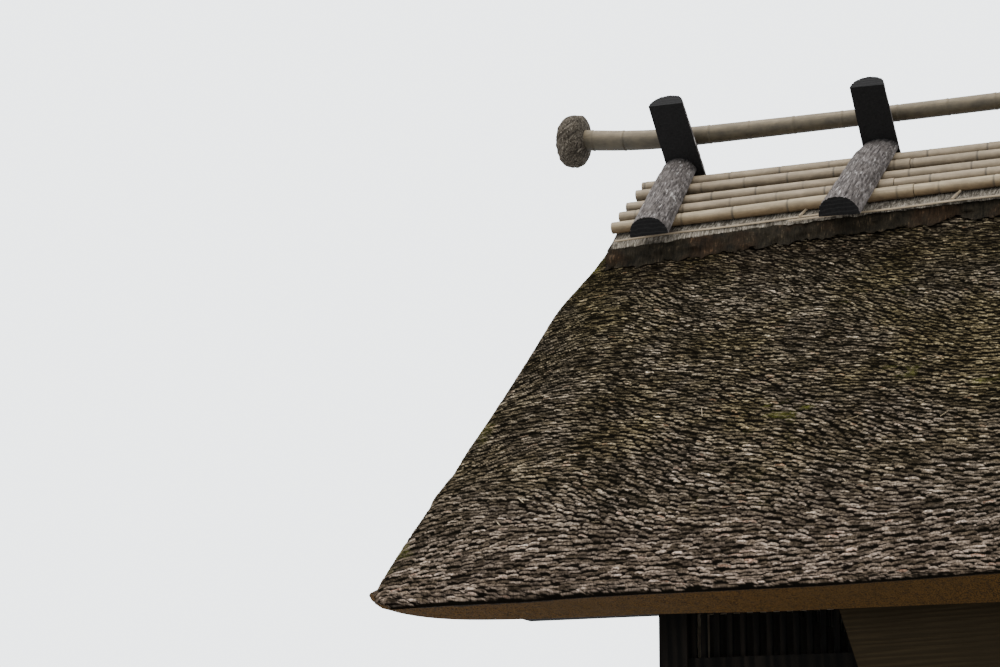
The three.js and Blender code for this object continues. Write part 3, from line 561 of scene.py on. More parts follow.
def roof_points(side, s, n, x):
    """House coordinates of a point s up the slope from the lip and n out of the roof."""
    y = LIP_Y - s * math.cos(THATCH_SLOPE) + n * math.sin(THATCH_SLOPE)
    z = LIP_Z + s * math.sin(THATCH_SLOPE) + n * math.cos(THATCH_SLOPE)
    return np.stack([np.broadcast_to(x, y.shape), side * y, z], -1)


def slope_length_to(y, n):
    """How far up the slope the point lies that is y from the ridge line and n out of the roof."""
    return (LIP_Y - y + n * math.sin(THATCH_SLOPE)) / math.cos(THATCH_SLOPE)


def edge_drop(radius, distance):
    """How far an edge of that radius has dropped at a distance from it: r - sqrt(r2 - (r - d)2)."""
    reach = np.clip(radius - distance, 0, radius)
    return radius - np.sqrt(np.maximum(radius ** 2 - reach ** 2, 0))


def eave_trim(away):
    """How much thinner the eave is cut at that distance from the verge: least in the middle."""
    corner = CORNER_TRIM * np.exp(-away / CORNER_REACH)
    return EAVE_TRIM - EAVE_TRIM_EASE * eased(*EAVE_TRIM_RUN, away) + corner


def tufts(s, x, seed):
    """Height above the crevices in metres, painted shade (0..1: 1 where a lip is painted lit, 0 for a
    crevice in painted shade) and each tuft's tone. Courses lie at whole numbers of q = s / pitch (1 +
    closing s).
    A tuft's lip is a flat arch, lifted and tilted at random, and the tuft that counts is that of the
    highest course whose lip lies below the point."""
    q = s / COURSE_PITCH * (1 + COURSE_CLOSING * s) + 1.6 * drift(x * 1.1, s * 0.9, seed + 1)
    q = q + 0.6 * drift(x * 4.7, s * 3.3, seed + 9)
    away = verge_half(s) - np.abs(x)
    lean = 0.9 * eased(0.55, 0.15, away) - 0.8 * eased(0.4, 1.0, away) * eased(3.4, 2.0, away)
    lean = (lean * eased(0.2, 0.8, s) + 1.3 * (drift(x * 2.1, s * 2.3, seed + 2) - 0.5)) * np.sign(-x)
    upper = eased(0.2, 1.9, s)
    height = np.zeros_like(q)
    shade = np.zeros_like(q)
    tone = np.zeros_like(q)
    open_place = np.ones_like(q, bool)
    for back in (-1, 0, 1, 2, 3):
        k = np.floor(q) + 1 - back
        width = TUFT_WIDTH - TUFT_CLOSING * k * COURSE_PITCH
        across = x / width + 7.3 * scatter(k, k * 0, seed + 3) + 1.3 * drift(x * 5.1, k * 0.7, seed + 4)
        j = np.floor(across)
        f = 2 * (across - j) - 1
        lift = 0.85 * (scatter(k, j, seed + 5) - 0.5) + 0.3 * (drift(x * 55, k * 1.7, seed + 12) - 0.5)
        lip = k + lift + 0.45 * lean * f - (0.26 - 0.12 * upper) * f * f
        past = q - lip
        size = 0.4 + 0.6 * scatter(k, j, seed + 6) ** 0.7
        rise = eased(0, 0.16, past) * (1 - 0.7 * eased(0.16, 1.2, past))
        here = open_place & (past >= 0)
        height = np.where(here, size * rise, height)
        # painted highlight along each lip, fading up the tuft into painted shade in the crevice under the
        # next lip
        fade = 0.34 - 0.18 * upper + 0.3 * (drift(x * 48, k * 2.3, seed + 13) - 0.5)
        painted_lip_highlight = eased(-0.02, 0.1, past) * (1 - 0.93 * eased(fade, fade + 0.28, past))
        shade = np.where(here, painted_lip_highlight * (0.25 + 0.75 * size), shade)
        tone = np.where(here, scatter(k, j, seed + 7), tone)
        open_place &= ~here
    return height * (TUFT_HEIGHT - TUFT_HEIGHT_LOSS * upper), shade, tone


def read_mark(tree, name):
    """The values that build put at the points under that name."""
    return put(tree, "ShaderNodeAttribute", {}, attribute_name=name).outputs["Fac"]


def on_roof(tree):
    """Metres along the roof and up the slope."""
    return put(tree, "ShaderNodeUVMap", {}, uv_map="UVMap").outputs["UV"]


def product(tree, first, second):
    """The two colours multiplied."""
    return mixed(tree, 1.0, first, second, "MULTIPLY")


def weathered_thatch():
    """Tops of the tufts grey-brown, paler and pinker towards the eave, olive higher up; lips painted lit
    and crevices painted almost black as shade, by the shade mark; thin moss in patches."""
    material, tree, place = finish("weathered_thatch", 1.0, 0.0)
    roof = on_roof(tree)
    shade = read_mark(tree, "shade")
    tone = read_mark(tree, "tone")
    moss = read_mark(tree, "moss")
    up_slope = put(tree, "ShaderNodeSeparateXYZ", {"Vector": roof}).outputs["Y"]
    share = worked(tree, "DIVIDE", up_slope, SLOPE_LENGTH)
    fibres = noise(tree, roof, 95, 4, 0.75, (1, 0.35, 1))
    blotches = noise(tree, place, 1.6, 4, 0.6)
    shaded_hollow_patches = noise(tree, roof, 5.5, 4, 0.65, (0.6, 1, 1))
    stroke_light_and_shade = noise(tree, roof, 42, 3, 0.6, (0.33, 1.1, 1))
    lip = ramp(tree, tone, [(0.0, (0.05, 0.042, 0.03)), (0.35, (0.12, 0.102, 0.08)),
                            (0.75, (0.23, 0.2, 0.165)), (0.94, (0.34, 0.3, 0.255)),
                            (0.965, (0.25, 0.17, 0.125)), (1.0, (0.5, 0.455, 0.4))])
    height_tint = ramp(tree, share, [(0.0, (0.93, 0.8, 0.73)), (0.22, (0.8, 0.72, 0.66)),
                                     (0.5, (0.74, 0.68, 0.59)), (0.78, (0.71, 0.66, 0.57)),
                                     (0.88, (0.42, 0.38, 0.31))])
    coloured = product(tree, lip, height_tint)
    olive = worked(tree, "MULTIPLY", ramp(tree, blotches, [(0.42, 0.0), (0.6, 1.0)]),
                   ramp(tree, share, [(0.1, 0.0), (0.4, 0.8)]))
    coloured = mixed(tree, olive, coloured, product(tree, coloured, (0.8, 0.78, 0.54)))
    streaked = product(tree, coloured, ramp(tree, fibres, [(0.33, 0.3), (0.68, 1.5)]))
    # large patches, darker and lighter: painted shade of shallow hollows in the thatch
    streaked = product(tree, streaked, ramp(tree, shaded_hollow_patches, [(0.36, 0.55), (0.6, 1.25)]))
    # fine strokes across the slope: painted highlights on the reed ends and painted shade in the gaps
    # between them, stronger up the slope
    broken = product(tree, streaked, ramp(tree, stroke_light_and_shade, [(0.4, 0.35), (0.5, 0.95), (0.62, 2.0)]))
    streaked = mixed(tree, ramp(tree, share, [(0.0, 0.55), (0.4, 0.9)]), streaked, broken)
    # painted shade: where the shade mark is low the colour goes almost black, as in a shaded crevice; where
    # it is high the lip is painted lit
    shade_painted = mixed(tree, ramp(tree, shade, [(0.06, 0.0), (0.75, 1.0)]), (0.0042, 0.0035, 0.0025), streaked)
    leaf = noise(tree, place, 60, 4, 0.7)
    green = ramp(tree, leaf, [(0.3, (0.02, 0.022, 0.005)), (0.7, (0.15, 0.145, 0.03))])
    spread = worked(tree, "MULTIPLY", moss, leaf)
    covered = mixed(tree, ramp(tree, spread, [(0.14, 0.0), (0.45, 0.8)]), shade_painted, green)
    return coated(material, covered, fibres, 0.012)


def cut_reed():
    """The square-cut butts at the eave and verge: golden tan straw ends with dark pith, painted shade in the
    gaps between them, and painted shade along the edge under the lip.
    """
    material, tree, place = finish("cut_reed", 0.95, 0.12)
    ends = put(tree, "ShaderNodeTexVoronoi", {"Vector": place, "Scale": 130.0}).outputs["Distance"]
    spots = noise(tree, place, 42, 4, 0.7)
    bands = noise(tree, place, 1.3, 2, 0.5)
    # each straw end is lighter in its middle and goes dark towards its edge: painted shade in the gaps
    # between the ends
    straw = ramp(tree, ends, [(0.0, (0.106, 0.051, 0.011)), (0.5, (0.071, 0.034, 0.0074)),
                              (0.75, (0.0165, 0.009, 0.0026))])
    spotted = mixed(tree, ramp(tree, spots, [(0.33, 0.85), (0.5, 0.0)]), straw, (0.02, 0.012, 0.005))
    aged = mixed(tree, ramp(tree, bands, [(0.4, 0.0), (0.65, 0.45)]), spotted, (0.049, 0.027, 0.0085))
    # painted shade along the cut's top edge, under the lip, where the shade mark is low
    fringe = read_mark(tree, "shade")
    lip_shaded = mixed(tree, ramp(tree, fringe, [(0.1, 1.0), (0.6, 0.0)]), aged, (0.012, 0.008, 0.005))
    return coated(material, lip_shaded, mixed(tree, 0.5, ends, spots), 0.006)


def thatch_underside():
    """Clean, brown stalks along the slope, as they were laid on the battens."""
    material, tree = finish("thatch_underside", 0.95, 0.1)[:2]
    roof = on_roof(tree)
    stalks = noise(tree, roof, 120, 3, 0.6, (1, 0.04, 1))
    straw = ramp(tree, stalks, [(0.3, (0.02, 0.014, 0.009)), (0.7, (0.1, 0.07, 0.042))])
    return coated(material, straw, stalks, 0.008)


thatch_finishes = [weathered_thatch(), cut_reed(), thatch_underside()]


def moss_at(s, x, side):
    """Moss: round spots that fade outwards, and a line along the verge, broken up by noise."""
    away = verge_half(s) - np.abs(x)
    line = 0.6 * eased(0.26, 0.03, away) * drift(s * 3, x * 2, 31)
    amount = line + 0.35 * drift(x * 1.1, s * 1.3, 32) ** 2
    for spot_x, spot_s, radius, strength in MOSS_SPOTS:
        gap = np.hypot((x - spot_x * -side), (s - spot_s) * 2.2) / radius
        broken = eased(0.25, 0.85, drift(x * 11, s * 17, 34))
        amount = amount + strength * eased(1.0, 0.1, gap) * broken
    return amount * (0.3 + 0.9 * drift(x * 13, s * 15, 33))


def at_verge(place):
    """Whether a length of thatch ends there at the verge, and not against the next length."""
    return abs(place) == VERGE_HALF_LENGTH


def shares(left, right, step):
    """Shares of the way from left to right, one step apart, with a rounded verge in finer steps."""
    length = right - left
    fine = np.array([0, 0.003, 0.008, 0.016, 0.027, 0.042, 0.06, 0.08])
    middle = np.arange(0.1 * at_verge(left), length - 0.1 * at_verge(right), step)
    return np.concatenate([fine if at_verge(left) else [], middle,
                           length - fine[::-1] if at_verge(right) else [length]]) / length


def ends_of(outer_count, around, upper_s, lower_s, last_line):
    """Triangles that close both ends of a thatch piece: each point of the outer face, at upper_s up
    the slope, is joined to the point of the underside, at lower_s, that lies level with it."""
    upper = np.arange(outer_count + 1)
    lower = np.concatenate([[0], np.arange(around - 1, outer_count, -1)])
    meets = np.clip(np.searchsorted(lower_s, upper_s, side="right") - 1, 0, len(lower) - 1)
    meets[0], meets[-1] = 0, len(lower) - 1
    first = np.stack([upper[:-1], upper[1:], lower[meets[:-1]]], -1)
    j = np.arange(len(lower) - 1)
    second = np.stack([upper[np.searchsorted(meets, j, side="right")], lower[j + 1], lower[j]], -1)
    end = np.concatenate([first[1:], second])
    end = end[(end != np.roll(end, 1, axis=1)).all(1)]
    return np.concatenate([end[:, ::-1], end + last_line * around])


def thatch_piece(name, side, left, right, loop_step, course_step, seed):
    """One closed length of a slope, from the column line at X = left to that at right; at a verge
    the line follows it. Section: up the outer face in tufts, over to the ridge bed, down the
    underside and back along the eave cut. Path: along X, with finer steps at a rounded verge."""
    part = shares(left, right, loop_step)

    def x_at(s):
        start, stop = [np.sign(place) * verge_half(s) if at_verge(place) else place + 0 * s
                       for place in (left, right)]
        return start + part[:, None] * (stop - start)

    bed = slope_length_to(RIDGE_BED_Y, 0)
    bend = LIP_RADIUS * (1 - np.cos(np.linspace(0, math.pi / 2, 12)[:-1]))
    s = np.concatenate([bend, np.arange(LIP_RADIUS, bed - 0.02, course_step), [bed]])
    x = x_at(s)
    grid_s = np.broadcast_to(s, x.shape)
    away = np.maximum(verge_half(s)[None] - np.abs(x), 0)
    # the courses go on round the lip, which ends in hanging straw without tufts, painted dark as the shade
    # under the rounded lip
    along = np.broadcast_to(s - edge_drop(LIP_RADIUS, s), x.shape)
    height, shade, tone = tufts(along, x, seed)
    frayed = along + LIP_RADIUS + 0.014 * (drift(x * 60, 0 * x, seed + 11) - 0.5)
    height = height * eased(0.0, 0.02, frayed)
    shade = shade * eased(0.012, 0.03, frayed)
    depth = TUFT_BED - height + SWELL * drift(x * 1.7, grid_s * 1.7, seed + 8)
    lip_radius = np.interp(away[:, :1], LIP_PLACES, LIP_RADII)
    drop = np.maximum(edge_drop(lip_radius, s[None]), edge_drop(VERGE_RADIUS, away)) + depth
    thinned = THATCH_THICKNESS - eave_trim(away)
    drop = np.minimum(drop, np.maximum(thinned, 0.5 * s[None]) - 0.012)
    outer = roof_points(side, grid_s - 0.2 * depth, -drop, x)
    outer[:, :, 1] = side * np.maximum(np.abs(outer[:, :, 1]), 0.001)
    # ridge end, underside and eave cut, with the corner trimmed thinner towards the verge
    top_z = LIP_Z + (LIP_Y - RIDGE_BED_Y) * math.tan(THATCH_SLOPE) + RIDGE_BED_Y * math.tan(CAP_SLOPE) - 0.02
    top_x = x[:, -1:]
    crest = np.stack([top_x, np.full_like(top_x, side * RIDGE_GAP), np.full_like(top_x, top_z)], -1)
    end_away = away[:, :1]
    trim = eave_trim(end_away)
    cut_depth = THATCH_THICKNESS - trim
    cut_start = CUT_LENGTH * math.cos(THATCH_SLOPE + CUT_DROP) * cut_depth / THATCH_THICKNESS
    under_s = np.linspace(slope_length_to(RIDGE_GAP, -THATCH_THICKNESS), 0, UNDER_ROWS)[None]
    low_s = cut_start + under_s / under_s.max() * (under_s.max() - cut_start)
    under_depth = THATCH_THICKNESS - trim * (1 - eased(0, TRIM_UP, under_s))
    under = roof_points(side, low_s, -under_depth, x_at(low_s))
    cut_share = np.linspace(0, 1, CUT_ROWS + 2)[1:-1][None]
    cut_s = cut_start - cut_start * cut_share
    cut_n = -cut_depth + (cut_depth - drop[:, :1]) * cut_share
    cut_x = x_at(cut_s)
    ragged = CUT_RAGGED * (drift(cut_x * 28, cut_share * 9 + 0 * cut_x, seed + 9) - 0.5)
    cut = roof_points(side, cut_s, cut_n + ragged * np.sin(math.pi * cut_share), cut_x)
    loops = np.concatenate([outer, crest, under, cut], 1)
    # marks and UV: metres along the roof and up the slope, or down from the lip on the cut
    count, around = loops.shape[:2]
    inner = (count, around - len(s))
    # the cut face is painted dark towards the lip, as painted shade under it; fringe is 0 there
    fringe_start = 0.86 + 0.1 * eased(0.9, 1.4, end_away)
    fringe = 1 - eased(fringe_start, fringe_start + 0.1,
                       cut_share + 0.1 * (drift(cut_x * 14, 0 * cut_x, seed + 10) - 0.5))
    marks = {"shade": np.concatenate([shade, np.ones((count, UNDER_ROWS + 1)), fringe], 1),
             "tone": np.concatenate([tone, np.full(inner, 0.5)], 1),
             "moss": np.concatenate([moss_at(grid_s, x, side), np.zeros(inner)], 1)}
    u = np.concatenate([loops[:, :, 0], loops[:, :1, 0]], 1)
    v = np.concatenate([grid_s, np.full((count, 1), bed + 0.5), low_s, -cut_n + 0 * cut_x,
                        np.zeros((count, 1))], 1)
    quads, quad_uv, place = wrapped(np.stack([u, v], -1), count)
    points = loops.reshape(-1, 3)
    ends = ends_of(len(s), around, [*s, bed + 0.5], [0, *cut_s[0, ::-1], *low_s[0, ::-1]], count - 1)
    zones = np.array([0] * len(s) + [2] * UNDER_ROWS + [1] * (around - len(s) - UNDER_ROWS))[place]
    return build(name, points, [(quads, quad_uv), (ends, points[ends][:, :, [1, 2]])], thatch_finishes,
                 np.concatenate([zones, np.ones(len(ends), int)]), marks, 42, side < 0)


for name, side, left, right, loop_step, course_step, seed, *nodes in (
        ("thatch_front_west", -1, -VERGE_HALF_LENGTH, -2.95, 0.0118, 0.0062, 3, "thatch_front"),
        ("thatch_front_bay", -1, -2.95, -1.27, 0.0118, 0.0062, 3),
        ("thatch_front_east", -1, -1.27, VERGE_HALF_LENGTH, 0.034, 0.0092, 3),
        ("thatch_back_slope", 1, -VERGE_HALF_LENGTH, VERGE_HALF_LENGTH, 0.047, 0.0107, 5, "thatch_back")):
    show(thatch_piece(name, side, left, right, loop_step, course_step, seed), "thatch", *nodes)


# Ridge bed: packed straw over the top of both slopes, wrapped in dark cedar bark whose torn edge
# hangs over the thatch. It spreads downwards towards both ends of the ridge.
CROSSING_Z = 6.333
BAMBOO_RADIUS = 0.043
BARK_THICKNESS = 0.02
REST_GAP = 0.0003
BARK_TOP = -2 * BAMBOO_RADIUS - 2 * REST_GAP
BARK_UNDERSIDE = BARK_TOP - BARK_THICKNESS
BED_TOP = BARK_UNDERSIDE - REST_GAP
PACKING_RUN = 0.52
PACKING_DROOP = 0.185
PACKING_LEAN = 0.045
CAP_HALF_LENGTH = 4.225


def cap_points(side, u, n, x):
    """House coordinates of a point u down the cap's slope from the crossing and n out of it."""
    y = u * math.cos(CAP_SLOPE) + n * math.sin(CAP_SLOPE)
    z = CROSSING_Z - u * math.sin(CAP_SLOPE) + n * math.cos(CAP_SLOPE)
    return np.stack([np.broadcast_to(x, y.shape), side * y, np.broadcast_to(z, y.shape)], -1)


def roof_height(y):
    """The height of the roof's plane at y from the ridge line."""
    return LIP_Z + (LIP_Y - y) * math.tan(THATCH_SLOPE)


def cap_height(y, n):
    """The height, at y from the ridge line, of the plane n out of the cap."""
    return CROSSING_Z - y * math.tan(CAP_SLOPE) + n / math.cos(CAP_SLOPE)


def packed_straw():
    """Almost black, matted fibres that hang down the slope, with a reddish cast where they catch light."""
    material, tree, place = finish("packed_straw", 0.97, 0.08)
    fibres = noise(tree, place, 110, 5, 0.7, (1, 0.16, 0.16))
    clumps = noise(tree, place, 11, 4, 0.65)
    both = worked(tree, "MULTIPLY", fibres, clumps)
    colour = ramp(tree, both, [(0.12, (0.003, 0.0027, 0.0018)), (0.32, (0.022, 0.017, 0.0105)),
                               (0.46, (0.1, 0.072, 0.044))])
    rust = ramp(tree, noise(tree, place, 3.5, 3, 0.6), [(0.48, 0.0), (0.62, 0.6)])
    colour = mixed(tree, rust, colour, product(tree, colour, (1.36, 0.88, 0.67)))
    return coated(material, colour, both, 0.03)


def ridge_bed():
    """Section: the bed of the thatch below, a torn face at each side, and the cap's plane above.
    The face moves out and in by noise, more at its foot. Path: along X."""
    x = np.linspace(-CAP_HALF_LENGTH, CAP_HALF_LENGTH, 400)[:, None]
    run = PACKING_RUN + PACKING_DROOP * (x / CAP_HALF_LENGTH) ** 2
    shoulder = run - PACKING_LEAN
    t = np.linspace(0, 1, 8)[None]
    torn = 0.06 * (drift(x * 22, t * 3.5, 41) - 0.55) + 0.05 * (drift(x * 75, t * 5, 42) - 0.5)
    torn = torn + 0.05 * (drift(x * 5, t * 1.5, 43) - 0.5)
    torn = torn * (1 - t) ** 0.5 + 0 * x
    face_y = run + (shoulder - run) * t + torn * math.sin(CAP_SLOPE)
    foot = roof_height(run) - 0.006
    face_z = foot + (cap_height(shoulder, BED_TOP) - foot) * t - 0.6 * torn * (1 - t)
    bed = np.full_like(x, RIDGE_BED_Y)
    bed_z = np.full_like(x, roof_height(RIDGE_BED_Y) + 0.0004)
    crest = np.zeros_like(x)
    crest_low = bed_z + RIDGE_BED_Y * math.tan(CAP_SLOPE)
    crest_top = np.full_like(x, cap_height(0, BED_TOP))
    y = np.concatenate([crest, bed, face_y, crest, -face_y[:, ::-1], -bed], 1)
    z = np.concatenate([crest_low, bed_z, face_z, crest_top, face_z[:, ::-1], bed_z], 1)
    loops = np.stack([np.broadcast_to(x, y.shape), y, z], -1)
    return carried("ridge_bed", loops, [packed_straw()], sharp=70)


show(ridge_bed(), "packed_straw", "ridge_packing")


# Bark covers: cedar bark laid over the bed in four thin layers, torn off below the lowest culm.
# Its edge has gone light grey and fibrous.
BARK_RUN = 0.68
BARK_DROOP = 0.26
BARK_HALF_LENGTH = 4.2
BARK_LAYERS = 4
BATTEN_RUN = 0.715
BATTEN_DROOP = 0.144
BATTEN_STEP = 0.04


def cedar_bark():
    """Dark, speckled bark under the culms; light, bleached fibres with shadows between at the torn
    edge, where the mark called fringe is 1."""
    material, tree, place = finish("cedar_bark", 0.95, 0.1)
    fringe = read_mark(tree, "fringe")
    fibres = noise(tree, place, 130, 4, 0.75, (1, 0.12, 0.12))
    patches = noise(tree, place, 14, 4, 0.7)
    dark = ramp(tree, fibres, [(0.3, (0.012, 0.01, 0.008)), (0.5, (0.07, 0.06, 0.047)),
                               (0.72, (0.3, 0.265, 0.22))])
    light = ramp(tree, fibres, [(0.33, (0.026, 0.021, 0.014)), (0.5, (0.158, 0.134, 0.103)),
                                (0.66, (0.4, 0.35, 0.285))])
    grey = mixed(tree, fringe, dark, light)
    colour = mixed(tree, ramp(tree, patches, [(0.36, 0.8), (0.5, 0.0)]), grey, (0.03, 0.024, 0.018))
    return coated(material, colour, fibres, 0.012)


bark_finish = cedar_bark()


def batten_run(x, lower):
    """How far down the cap the batten lies: it droops with the square of the distance."""
    return BATTEN_RUN + lower + BATTEN_DROOP * (x / BARK_HALF_LENGTH) ** 2


def bark_sheets(name, side, stations, node):
    """Section: underside, the torn edges of four layers one above the other, and the top back to
    the crest. The edge follows the droop line, or the batten where that hangs lower, and noise
    tears each layer further back than the one above. It sags towards both ends. Path: along X."""
    x = np.linspace(-BARK_HALF_LENGTH, BARK_HALF_LENGTH, stations)[:, None]
    layer = np.repeat(np.arange(BARK_LAYERS), 2)[None]
    high = np.tile([0.0, 1.0], BARK_LAYERS)[None]
    line = BARK_RUN + BARK_DROOP * (x / CAP_HALF_LENGTH) ** 2 + 0.02
    under_batten = batten_run(x, BATTEN_STEP * eased(3.2, 3.0, np.abs(x))) + 0.022
    torn = 0.024 * drift(x * 19 + 5 * layer, layer * 3.0, 51) + 0.014 * drift(x * 75, layer * 5.0, 52)
    edge_u = np.maximum(line, under_batten) - torn - 0.012 * (BARK_LAYERS - 1 - layer)
    sag = 0.003 + 0.01 * eased(2.4, 3.2, np.abs(x)) + 0.006 * drift(x * 8, layer * 2.0, 53)
    edge_n = BARK_UNDERSIDE + (layer + high * 0.9) * BARK_THICKNESS / BARK_LAYERS - sag
    top_u = edge_u[:, -1:] + (0.12 - edge_u[:, -1:]) * np.linspace(0.06, 1, 5)[None]
    near = RIDGE_GAP + 0 * x
    crest = [np.stack([x, side * near, cap_height(near, level)], -1) for level in (BARK_TOP, BARK_UNDERSIDE)]
    loops = np.concatenate([cap_points(side, edge_u, edge_n + 0 * x, x),
                            cap_points(side, top_u, np.full(top_u.shape, BARK_TOP), x), *crest], 1)
    fringe = np.array([1.0] * 2 * BARK_LAYERS + [0.7, 0.1] + [0.0] * 5)[None] + 0 * x
    piece = carried(name, loops, [bark_finish], marks={"fringe": fringe}, flip=side < 0, sharp=50)
    show(piece, "cedar_bark", node)


bark_sheets("bark_sheets_front", -1, 760, "bark_cover_front")
bark_sheets("bark_sheets_back", 1, 320, "bark_cover_back")


# Cap culms: five rows of timber bamboo on each slope, tied down side by side over the bark. Each row
# is made of culms end to end, thin end into thick end, and the rows fan out towards the gables.
BAMBOO_ROWS = (0.106, 0.23, 0.381, 0.497, 0.618)
BAMBOO_HALF_LENGTH = 4.193
BAMBOO_FLARE = 0.065
CAP_SPREAD = 0.28
CAP_SPREAD_FROM = 0.2
CULM_JOINTS = ((-0.4, 2.7), (-2.37, 1.1), (0.8,), (-2.42, 2.2), (-2.275, 1.7))
CULM_TAPER = 0.1
NODE_SWELL = 0.04
NODE_GROOVE = 0.035
FIRST_NODE = 0.09
NODE_SPACING = 0.37
NODE_CLOSING = 0.045
NODE_UNEVENNESS = 0.24
CULM_GAP = 0.002
CULM_WAVER = 0.006


def bamboo(name, light, dark, under, groove_darkening):
    """Weathered culm: pale wax gone grey-beige, long streaks, darker by a share in the grooves at the nodes
    and in the hollow ends, and a mottled underside in painted shade. node_mark is 1 at a node."""
    material, tree, place = finish(name, 0.62, 0.35)
    streaks = noise(tree, place, 90, 4, 0.65, (0.05, 1, 1))
    mottles = noise(tree, place, 16, 5, 0.7, (0.6, 1, 1))
    groove = read_mark(tree, "node_mark")
    underside_shade_share = read_mark(tree, "underside_shade_share")
    colour = ramp(tree, streaks, [(0.25, dark), (0.6, light), (0.85, tuple(1.12 * c for c in light))])
    colour = mixed(tree, ramp(tree, mottles, [(0.42, 0.6), (0.6, 0.0)]), colour, dark)
    shade_painted = tuple(0.45 * c for c in under)
    # painted shade: the underside is mixed towards a mottled dark colour
    shadow = mixed(tree, ramp(tree, mottles, [(0.3, 0.0), (0.6, 1.0)]), shade_painted, under)
    colour = mixed(tree, underside_shade_share, colour, shadow)
    # darker in the node grooves and the hollow ends, by the given share
    colour = mixed(tree, ramp(tree, groove, [(0.0, 0.0), (0.8, groove_darkening)]), colour, (0.03, 0.024, 0.016))
    return coated(material, colour, streaks, 0.0015)


def culm(name, route, half_width, start, stop, spacing, around, material, shade_run, closer=0.0, seed=0):
    """A hollow-ended tube: at each node the radius swells 4 % just before a narrow groove. route
    gives the middle of the culm and half_width its radius, each for an array of X, and spacing the
    distance to the next node. closer is the share by which the first nodes stand closer together."""
    length = abs(stop - start)
    towards = math.copysign(1, stop - start)
    places = [FIRST_NODE]
    while places[-1] < length:
        step = spacing(start + towards * places[-1]) * (1 - closer * math.exp(-places[-1] / 0.5))
        uneven = 1 - NODE_UNEVENNESS / 2 + NODE_UNEVENNESS * float(scatter(len(places), seed, 61))
        places.append(places[-1] + step * uneven)
    nodes = np.array(places[:-1])
    offsets = np.array([-0.016, -0.006, 0.0, 0.005, 0.011, 0.024])
    close = (nodes[:, None] + offsets[None]).ravel()
    along = np.unique(np.concatenate([[0.0, length], close, nodes + 0.14]))
    along = along[(along >= 0) & (along <= length)]
    gap = along[:, None] - nodes[None]
    swell = NODE_SWELL * np.exp(-(gap / 0.007) ** 2) - NODE_GROOVE * np.exp(-((gap - 0.011) / 0.005) ** 2)
    radius = half_width(start + towards * along) * (1 + swell.sum(1)) - 2 * REST_GAP
    strength = 0.45 + 0.55 * scatter(np.arange(len(nodes)), seed, 63)
    mark = np.clip((strength[None] * np.exp(-((gap - 0.01) / 0.005) ** 2)).sum(1), 0, 1)
    hollow = np.array([0.03, 0.0])
    along = np.concatenate([hollow, along, length - hollow[::-1]])
    hollow_radius = np.array([0.72, 0.74])
    radius = np.concatenate([radius[0] * hollow_radius, radius, radius[-1] * hollow_radius[::-1]])
    mark = np.concatenate([[1, 0.6], mark, [0.6, 1]])
    x = start + towards * along
    middle = route(x)
    turn = 2 * math.pi * np.arange(around) / around
    wobble = 1 - 0.02 * drift(x[:, None] * 3, np.cos(turn)[None] * 2, 62 + seed)
    reach = radius[:, None] * wobble
    y = middle[:, 1:2] + reach * np.cos(turn)[None]
    z = middle[:, 2:3] + reach * np.sin(turn)[None]
    loops = np.stack([np.broadcast_to(x[:, None], y.shape), y, z], -1)
    # painted shade on the culm's underside, from the sine of the turn through shade_run
    low = eased(*shade_run, np.sin(turn))[None] + 0 * y
    marks = {"node_mark": mark[:, None] + 0 * y, "underside_shade_share": low}
    return carried(name, loops, [material], marks=marks, flip=towards < 0, sharp=35)


def cap_spacing(x):
    """The nodes stand evenly over the middle, and closer towards both ends."""
    return NODE_SPACING - NODE_CLOSING * min(max(abs(x) - 2, 0), 2.2)


def cap_culms(side, side_name, row, around, material):
    """One row. Its middle lies further down the cap with the square of X, and wavers by noise. The
    culms lie between the joints, each tapering evenly from its thick east end to its thin west end."""
    run = BAMBOO_ROWS[row]
    half = BAMBOO_HALF_LENGTH + BAMBOO_FLARE * run
    droop = CAP_SPREAD * max(0, run - CAP_SPREAD_FROM)
    ends = [-half, *CULM_JOINTS[row], half]

    def route(x):
        waver = CULM_WAVER * (drift(x * 0.9, x * 0, 70 + row) - 0.5)
        u = run + droop * (x / CAP_HALF_LENGTH) ** 2 + waver
        return cap_points(side, u, np.full_like(x, -BAMBOO_RADIUS - REST_GAP), x)

    for number, (left, right) in enumerate(zip(ends, ends[1:]), 1):
        def half_width(x, left=left, right=right):
            return BAMBOO_RADIUS * (1 - CULM_TAPER * (right - x) / (right - left))

        piece = culm(f"culm_{side_name}_{row + 1}_{number}", route, half_width, right - CULM_GAP,
                     left + CULM_GAP, cap_spacing, around, material, (0.45, -0.75), seed=row * 3 + number)
        show(piece, "bamboo", *([f"cap_bamboo_{side_name}_{row + 1}"] if number == 1 else []))


cap_bamboo = bamboo("cap_bamboo", (0.306, 0.234, 0.153), (0.17, 0.127, 0.078), (0.12, 0.088, 0.052), 0.75)
low_bamboo = bamboo("low_bamboo", (0.36, 0.28, 0.175), (0.19, 0.142, 0.083), (0.15, 0.1, 0.05), 0.75)
for row in range(len(BAMBOO_ROWS)):
    finish_used = low_bamboo if row == len(BAMBOO_ROWS) - 1 else cap_bamboo
    cap_culms(-1, "front", row, 18, finish_used)
    cap_culms(1, "back", row, 10, finish_used)


# Battens: split strips of bamboo, tied down over the edge of the bark in three lengths a side. Two
# split pegs lean over those of the front.
BATTEN_WIDTH = 0.017
BATTEN_RISE = 0.008
BATTEN_LENGTHS = (("west", -4.19, -2.86, 0), ("middle", -3.05, 1.4, 1), ("east", 1.43, 4.19, 0.5))
PEG_WIDTH = 0.018
PEG_RISE = 0.01


